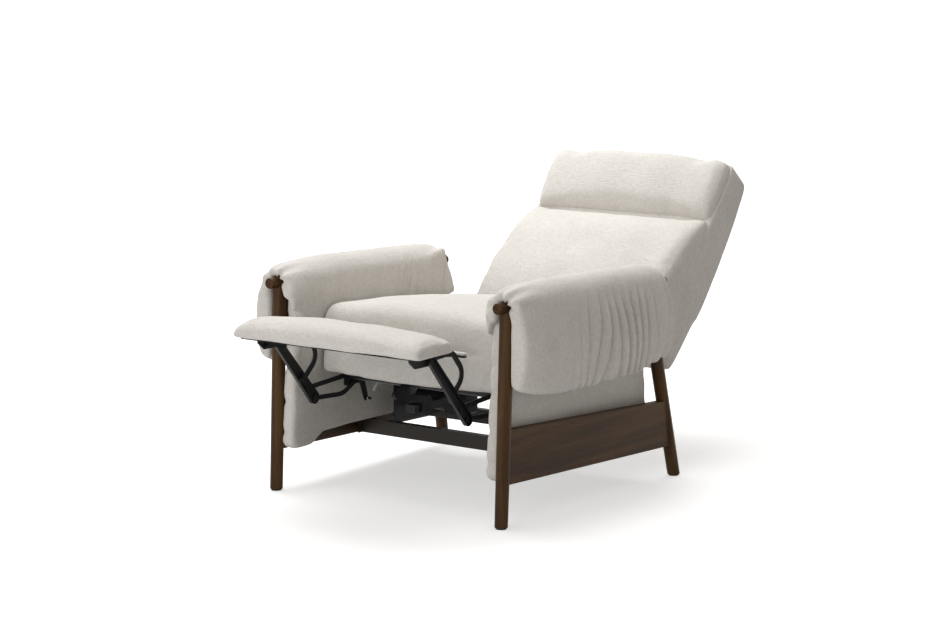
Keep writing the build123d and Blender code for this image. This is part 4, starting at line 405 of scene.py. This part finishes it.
# Of two shares, an effect starts at the first and is full at the second. Shares run down
# the pillow's height, along its length, or with how much the cloth faces one way.
FOLD_DEPTH = 0.022
FOLD_PITCH = 0.040
FOLD_EDGE = 0.5
FOLD_LEVEL_SHARE = 0.75
FOLD_DRIFT = 1.3
DRIFT_SCALE = (7, 3.5, 3.1)
FAN_SHARE = 0.8
FAN_CENTER_SHARE = 0.55
PATCH_SCALE = (5.5, 2.2)
PATCH_SLICE = 7.7
PATCH_LEVEL_SHARE = 0.75
PATCH_SWING_SHARE = 0.9
PATCH_LEAST_SHARE = 0.3
PATCH_MOST_SHARE = 1.2
FOLDS_START_SHARES = (0.24, 0.5)
FOLDS_END_SHARES = (0.95, 1.0)
FOLDS_LOSS_SHARE = 0.5
OUTER_FACING_SHARES = (0.05, 0.6)
OUTER_DROP_SHARES = (0.10, 0.5)
HEM_FACING_SHARES = (0.2, 0.7)
HEM_DROP_SHARES = (0.8, 0.95)
HEM_SHARE = 0.6
INNER_FACING_SHARES = (0.4, 0.9)
INNER_START_SHARES = (0.45, 0.8)
INNER_SHARE = 0.35
KNOB_INSET = 0.014
KNOB_REACH = 0.045
TUCK_DEPTH = 0.0042
TUCK_REACH = 0.055
TUCK_COUNT = 7
TUCK_DRIFT = 3
CREASE_SCALE = 24.0
CREASE_DEPTH = 0.0012
LUMP_SCALE = 8.0
LUMP_DEPTH = 0.0030


def woven(name):
    """Slubby plain weave that reads the same from every side of a cushion."""
    finish = Finish(name, CLOTH_PALE[:3], CLOTH_ROUGH)
    ends = [finish.node("ShaderNodeSeparateXYZ", {}, {0: finish.place}, way) for way in "XYZ"]
    threads = [(end * (2 * math.pi / THREAD_PITCH)).sine() for end in ends]
    crossing = threads[0] * threads[1] + threads[1] * threads[2] + threads[2] * threads[0]
    weft = finish.grain(SLUB_SCALE, SLUB_DETAIL, WEFT_STRETCH)
    warp = finish.grain(SLUB_SCALE, SLUB_DETAIL, WARP_STRETCH)
    slub = ((weft + warp) * 0.5).spread(*SLUB_SPREAD)
    cloud = finish.grain(CLOUD_SCALE, CLOUD_DETAIL).spread(*CLOUD_SPREAD)
    tone = slub * SLUB_SHARE + cloud * CLOUD_SHARE + crossing * THREAD_SHARE + PALE_SHARE
    finish.feed("Base Color", finish.blend(tone, CLOTH_DEEP, CLOTH_PALE))
    finish.bump(slub + crossing * THREAD_LIFT_SHARE, CLOTH_DEPTH, CLOTH_STRENGTH)
    finish.shader.inputs["Sheen Weight"].default_value = CLOTH_SHEEN
    finish.shader.inputs["Sheen Roughness"].default_value = CLOTH_SHEEN_ROUGH
    return finish.material


cloth = woven("off_white_weave")


def smooth_shaded(mesh):
    for face in mesh.polygons:
        face.use_smooth = True


def worked(thing):
    """The mesh of an object with its modifiers worked in."""
    bpy.context.view_layer.update()
    return bpy.data.meshes.new_from_object(thing.evaluated_get(bpy.context.evaluated_depsgraph_get()))


def soften(shape, times):
    """Softens a shape's corners, so many times over."""
    every_way = {"use_axis_x": True, "use_axis_y": True, "use_axis_z": True}
    for _ in range(times):
        bmesh.ops.smooth_vert(shape, verts=shape.verts, factor=SMOOTH_FACTOR, **every_way)


def foam(node, voxel, softness, plump, blocks=()):
    """The stuffing under a cover: the node's own shape and any blocks added to it, evenly
    meshed, its corners softened and its faces moved out. A block is a place, a size and a
    tilt about X."""
    shape = bmesh.new()
    shape.from_mesh(frame["nodes"][node].data)
    bmesh.ops.remove_doubles(shape, verts=shape.verts, dist=MERGE_REACH)
    for place, size, tilt in blocks:
        form = Matrix.Translation(place) @ Matrix.Rotation(tilt, 4, "X") @ Matrix.Diagonal((*size, 1.0))
        bmesh.ops.create_cube(shape, size=1.0, matrix=form)
    mesh = bpy.data.meshes.new(node + "_cover")
    shape.to_mesh(mesh)
    shape.free()
    thing = bpy.data.objects.new(node + "_cover", mesh)
    scene.collection.objects.link(thing)
    remesh = thing.modifiers.new("even", "REMESH")
    remesh.mode = "VOXEL"
    remesh.voxel_size = voxel
    even = worked(thing)
    thing.modifiers.clear()
    shape = bmesh.new()
    shape.from_mesh(even)
    bmesh.ops.recalc_face_normals(shape, faces=shape.faces)
    soften(shape, softness)
    shape.normal_update()
    outward = [vertex.normal * plump for vertex in shape.verts]
    for vertex, step in zip(shape.verts, outward):
        vertex.co += step
    shape.to_mesh(mesh)
    shape.free()
    mesh.materials.clear()
    mesh.materials.append(cloth)
    smooth_shaded(mesh)
    return thing


def refine(thing):
    """One subdivision, so that folds a few millimetres wide can be pressed in."""
    finer = thing.modifiers.new("finer", "SUBSURF")
    finer.levels = 1
    finer.render_levels = 1
    mesh = worked(thing)
    thing.modifiers.clear()
    thing.data = mesh
    smooth_shaded(mesh)


def press(thing, depth):
    """Moves each point along its normal by what depth gives for its place and normal."""
    moves = [vertex.normal * depth(vertex.co, vertex.normal) for vertex in thing.data.vertices]
    for vertex, move in zip(thing.data.vertices, moves):
        vertex.co += move


def dress(thing, node):
    """Puts the finished soft piece in its node's place."""
    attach(thing, frame["nodes"][node]["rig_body"])
    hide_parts(node)


def ramp(value, low, high):
    """Smooth step from 0 at low to 1 at high."""
    share = min(1.0, max(0.0, (value - low) / (high - low)))
    return share * share * (3 - 2 * share)


def skirt(side, front, rear, foot, head=SKIRT_HEAD, slant=0.0):
    """A length of the thin inner flap that hangs between the arm and the seat, as a block for foam."""
    middle = side * (SKIRT_FACE + SKIRT_THICK / 2), (front + rear) / 2, (foot + head) / 2
    return middle, (SKIRT_THICK, rear - front, head - foot), slant


def pillow_folds(side, low, high):
    """Gathers of the outer flap, a few of the inner one, and the tucks round the leg's top."""
    rail_low, rail_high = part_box("arm_rails")
    knob_x = side * (abs(rail_high[0]) - KNOB_INSET)
    knob = Vector((knob_x, rail_low[1] + KNOB_REACH, high[2] - KNOB_REACH))

    def depth(place, normal):
        down = (high[2] - place.z) / (high[2] - low[2])
        along = (place.y - low[1]) / (high[1] - low[1])
        drift = noise.noise(Vector((place.y, place.z, side)) * Vector(DRIFT_SCALE))
        fan = (along - FAN_CENTER_SHARE) * down * FAN_SHARE
        phase = 2 * math.pi * (place.y / FOLD_PITCH + drift * FOLD_DRIFT + fan)
        ridge = abs(math.sin(phase / 2)) ** FOLD_EDGE
        patch_spot = Vector((place.y * PATCH_SCALE[0], place.z * PATCH_SCALE[1], PATCH_SLICE + side))
        patch = PATCH_LEVEL_SHARE + PATCH_SWING_SHARE * noise.noise(patch_spot)
        patch = min(PATCH_MOST_SHARE, max(PATCH_LEAST_SHARE, patch))
        span = ramp(along, *FOLDS_START_SHARES) * (1 - FOLDS_LOSS_SHARE * ramp(along, *FOLDS_END_SHARES))
        outer = ramp(normal.x * side, *OUTER_FACING_SHARES) * ramp(down, *OUTER_DROP_SHARES) * span * patch
        hem = ramp(-normal.z, *HEM_FACING_SHARES) * ramp(down, *HEM_DROP_SHARES) * span * HEM_SHARE
        inner = ramp(-normal.x * side, *INNER_FACING_SHARES) * ramp(along, *INNER_START_SHARES)
        gathers = outer + hem + inner * patch * INNER_SHARE
        folds = gathers * (ridge - FOLD_LEVEL_SHARE) * FOLD_DEPTH
        toward = place - knob
        reach = math.exp(-(toward.length / TUCK_REACH) ** 2)
        around = math.atan2(toward.z, toward.x) * TUCK_COUNT + drift * TUCK_DRIFT
        tucks = math.sin(around) * reach * TUCK_DEPTH
        creases = noise.noise(place * CREASE_SCALE) * CREASE_DEPTH
        lumps = noise.noise(place * LUMP_SCALE) * LUMP_DEPTH
        return folds + tucks + creases + lumps

    return depth


for side, node in ((1, "arm_pillow_left"), (-1, "arm_pillow_right")):
    pillow_low, pillow_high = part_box(node)
    front, rear = pillow_low[1], pillow_high[1]
    skirts = [
        skirt(side, front + TIP_SKIRT[0], front + TIP_SKIRT[1], foot=0.472),
        skirt(side, front + LONG_SKIRT[0], rear + LONG_SKIRT[1], foot=0.430),
        skirt(side, rear + REAR_SKIRT[0], rear + REAR_SKIRT[1], *REAR_SKIRT_RISE, REAR_SKIRT_SLANT),
    ]
    pillow = foam(node, voxel=0.006, softness=12, plump=0.0015, blocks=skirts)
    refine(pillow)
    press(pillow, pillow_folds(side, pillow_low, pillow_high))
    for vertex in pillow.data.vertices:
        flare = ramp(pillow_high[2] - vertex.co.z, *REAR_DROP)
        vertex.co.y += REAR_REACH * flare * ramp(vertex.co.y, rear - REAR_LENGTH, rear)
    dress(pillow, node)


# The inner panels are padded boards under the arms. Their cloth is pulled round the
# front edge and stapled there, which leaves small puckers beside the leg.
PUCKER_HEIGHTS = (0.155, 0.235, 0.325, 0.395, 0.455)
PUCKER_WIDTH = 0.011
PUCKER_REACH = 0.045
PUCKER_DEPTH = 0.0038
PANEL_LUMP_SCALE = 11.0
PANEL_LUMP_DEPTH = 0.0015
PANEL_REACH = 0.011
PANEL_REACH_LENGTH = 0.05


def panel_puckers(low):
    """Staple puckers along the front edge, over faint unevenness."""

    def depth(place, normal):
        front = math.exp(-((place.y - low[1]) / PUCKER_REACH) ** 2)
        dents = [math.exp(-((place.z - height) / PUCKER_WIDTH) ** 2) for height in PUCKER_HEIGHTS]
        return noise.noise(place * PANEL_LUMP_SCALE) * PANEL_LUMP_DEPTH - front * sum(dents) * PUCKER_DEPTH

    return depth


for node in ("inner_panel_left", "inner_panel_right"):
    panel = foam(node, voxel=0.006, softness=4, plump=0.0)
    panel_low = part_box(node)[0]
    press(panel, panel_puckers(panel_low))
    for vertex in panel.data.vertices:
        behind = ramp(vertex.co.y, panel_low[1], panel_low[1] + PANEL_REACH_LENGTH)
        vertex.co.y -= PANEL_REACH * (1 - behind)
    dress(panel, node)


# The seat cushion is a firm foam slab in a plain cover with a waterfall front.
# Its cover is blown up a few millimetres like a stuffed case, and held where it would lift
# off the seat box.
SEAT_SWELL = 0.003
SEAT_HELD_HEIGHT = 0.012
SEAT_FREE_FRONT = 0.05
COVER_FRAMES = 20
COVER_SETTINGS = {
    "quality": 4,
    "mass": 0.3,
    "tension_stiffness": 12,
    "compression_stiffness": 12,
    "shear_stiffness": 5,
    "bending_stiffness": 0.6,
    "use_pressure": True,
    "uniform_pressure_force": 4.0,
}
WRINKLE_SCALE = 2.7
WRINKLE_SHARE = 0.35


def stuff(thing, cap, held):
    """Blows a cover up like a stuffed case; points that held picks stay put, none moves past the cap."""
    start = [vertex.co.copy() for vertex in thing.data.vertices]
    pins = thing.vertex_groups.new(name="pinned")
    pins.add([index for index, place in enumerate(start) if held(place)], 1.0, "REPLACE")
    cover = thing.modifiers.new("cover", "CLOTH")
    for name, value in COVER_SETTINGS.items():
        setattr(cover.settings, name, value)
    cover.settings.effector_weights.gravity = 0
    cover.settings.vertex_group_mass = "pinned"
    cover.collision_settings.use_collision = False
    for step in range(1, COVER_FRAMES + 1):
        scene.frame_set(step)
    ends = [vertex.co.copy() for vertex in worked(thing).vertices]
    thing.modifiers.clear()
    thing.vertex_groups.clear()
    scene.frame_set(1)
    for vertex, first, last in zip(thing.data.vertices, start, ends):
        move = last - first
        if move.length > cap:
            move = move.normalized() * cap
        vertex.co = first + move


def slack(amount, scale):
    """Faint unevenness of cloth over foam."""

    def depth(place, normal):
        wrinkles = noise.noise(place * scale * WRINKLE_SCALE) * amount * WRINKLE_SHARE
        return noise.noise(place * scale) * amount + wrinkles

    return depth


seat = foam("seat_cushion", voxel=0.009, softness=4, plump=0.002)
seat_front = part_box("seat_cushion")[0][1] + SEAT_FREE_FRONT
seat_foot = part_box("seat_front_rail")[1][2] + SEAT_HELD_HEIGHT
stuff(seat, SEAT_SWELL, lambda place: place.z < seat_foot and place.y > seat_front)
refine(seat)
press(seat, slack(amount=0.0022, scale=7.0))
dress(seat, "seat_cushion")


# The back is two foam bolsters sewn to one timber frame: a long one, and a head roll
# whose lower edge swells over the seam between them. Their padding wraps the timber frame
# and hides the hinge brackets at its sides.
BACK_SWELL = 0.008
BACK_SOFTNESS = {"back_cushion": 10, "head_cushion": 22}
BACK_HALF = 0.302
BACK_TOP = 0.640
BACK_CORNER = 0.055
BACK_ARCH = 0.018
BACK_CROWN = 0.011
BACK_CROWN_SPAN = (0.50, 0.62)
BACK_CUT_SOFTNESS = 4
BACK_LEAN = math.radians(39.7)
BACK_PIVOT = Vector((0.0, 0.2187, 0.372))
BACK_UP = Vector((0.0, math.sin(BACK_LEAN), math.cos(BACK_LEAN)))
BACK_OUT = Vector((0.0, -math.cos(BACK_LEAN), math.sin(BACK_LEAN)))
HIP_SWELL = 0.005
HIP_ALONG = 0.110
HIP_REACH = 0.090
HIP_FACING_SHARES = (0.3, 0.8)
BRACKET_SIDE = 0.290
BRACKET_PLACE = (0.095, -0.070)
BRACKET_SIZE = (0.022, 0.090, 0.150)


def back_spot(along, front, side=0.0):
    """A place so far up the back, before its hinge line and to the side."""
    return BACK_PIVOT + BACK_UP * along + BACK_OUT * front + Vector((side, 0, 0))


def round_top(thing):
    """Rounds a back piece's two top corners and arches its top edge, then softens the cut."""
    shape = bmesh.new()
    shape.from_mesh(thing.data)
    for vertex in shape.verts:
        along = (vertex.co - BACK_PIVOT).dot(BACK_UP)
        outward = (vertex.co.x / BACK_HALF) ** 2
        reach = min(along, BACK_TOP - BACK_ARCH * outward)
        corner = Vector((abs(vertex.co.x) - BACK_HALF + BACK_CORNER, reach - BACK_TOP + BACK_CORNER))
        if corner.x > 0 and corner.y > 0 and corner.length > BACK_CORNER:
            corner = corner.normalized() * BACK_CORNER
            vertex.co.x = math.copysign(BACK_HALF - BACK_CORNER + corner.x, vertex.co.x)
            reach = BACK_TOP - BACK_CORNER + corner.y
        reach += BACK_CROWN * (1 - outward) * ramp(along, *BACK_CROWN_SPAN)
        vertex.co += BACK_UP * (reach - along)
    soften(shape, BACK_CUT_SOFTNESS)
    shape.to_mesh(thing.data)
    shape.free()


bolster_slack = slack(amount=0.0020, scale=6.0)


def hips(place, normal):
    """Slack of the bolsters, and the swell of their sides over the hinge brackets."""
    along = (place - BACK_PIVOT).dot(BACK_UP)
    swell = ramp(abs(normal.x), *HIP_FACING_SHARES) * math.exp(-((along - HIP_ALONG) / HIP_REACH) ** 2)
    return bolster_slack(place, normal) + swell * HIP_SWELL


bracket_fill = [
    (back_spot(*BRACKET_PLACE, side), BRACKET_SIZE, -BACK_LEAN) for side in (-BRACKET_SIDE, BRACKET_SIDE)
]
for node, blocks in (("back_cushion", bracket_fill), ("head_cushion", [])):
    bolster = foam(node, voxel=0.009, softness=BACK_SOFTNESS[node], plump=0.002, blocks=blocks)
    round_top(bolster)
    stuff(bolster, BACK_SWELL, lambda place: False)
    refine(bolster)
    press(bolster, hips)
    dress(bolster, node)


# The back's rear shell is the same cloth drawn tight over webbing and stapled below.
# Its padding runs forward between the bolsters, so that no groove shows down the side.
SEAM_PLACE = (0.334, -0.1425)
SEAM_SIZE = (0.592, 0.095, 0.606)

seam_fill = [(back_spot(*SEAM_PLACE), SEAM_SIZE, -BACK_LEAN)]
shell = foam("back_shell", voxel=0.008, softness=5, plump=0.001, blocks=seam_fill)
round_top(shell)
refine(shell)
press(shell, slack(amount=0.0016, scale=6.0))
dress(shell, "back_shell")


# The footrest pad is thin foam on a board, its cover pulled under and stapled through a
# black dust cloth that shows as a thin line. Towards its ends the pad runs thinner.
DUST_CLOTH_BLACK = (0.02, 0.02, 0.021)
DUST_CLOTH_PEEL = 700.0
PAD_SWELL = 0.0025
PAD_HELD_HEIGHT = 0.004
RIM_LIFT = 0.002
RIM_HEIGHT = 0.020
END_TAPER = 0.008
END_TAPER_SPAN = (0.18, 0.29)

dust_cloth = pebbled("black_dust_cloth", DUST_CLOTH_BLACK, rough=0.9, scale=DUST_CLOTH_PEEL)
paint(dust_cloth, "footrest_board")
pad_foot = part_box("footrest_pad")[0][2]
pad = foam("footrest_pad", voxel=0.006, softness=4, plump=0.002)
stuff(pad, PAD_SWELL, lambda place: place.z < pad_foot + PAD_HELD_HEIGHT)
refine(pad)
press(pad, slack(amount=0.0015, scale=9.0))
for vertex in pad.data.vertices:
    raised = ramp(vertex.co.z, pad_foot, pad_foot + RIM_HEIGHT)
    taper = END_TAPER * ramp(abs(vertex.co.x), *END_TAPER_SPAN)
    vertex.co.z += RIM_LIFT * (1 - raised) - taper * raised
dress(pad, "footrest_pad")


# The middle panel is a thin padded flap that fills the gap behind the footrest.
# The same cloth is wrapped round its steel board, and folds away with it.
flap = foam("middle_panel", voxel=0.003, softness=3, plump=0.0)
press(flap, slack(amount=0.0007, scale=15.0))
dress(flap, "middle_panel")
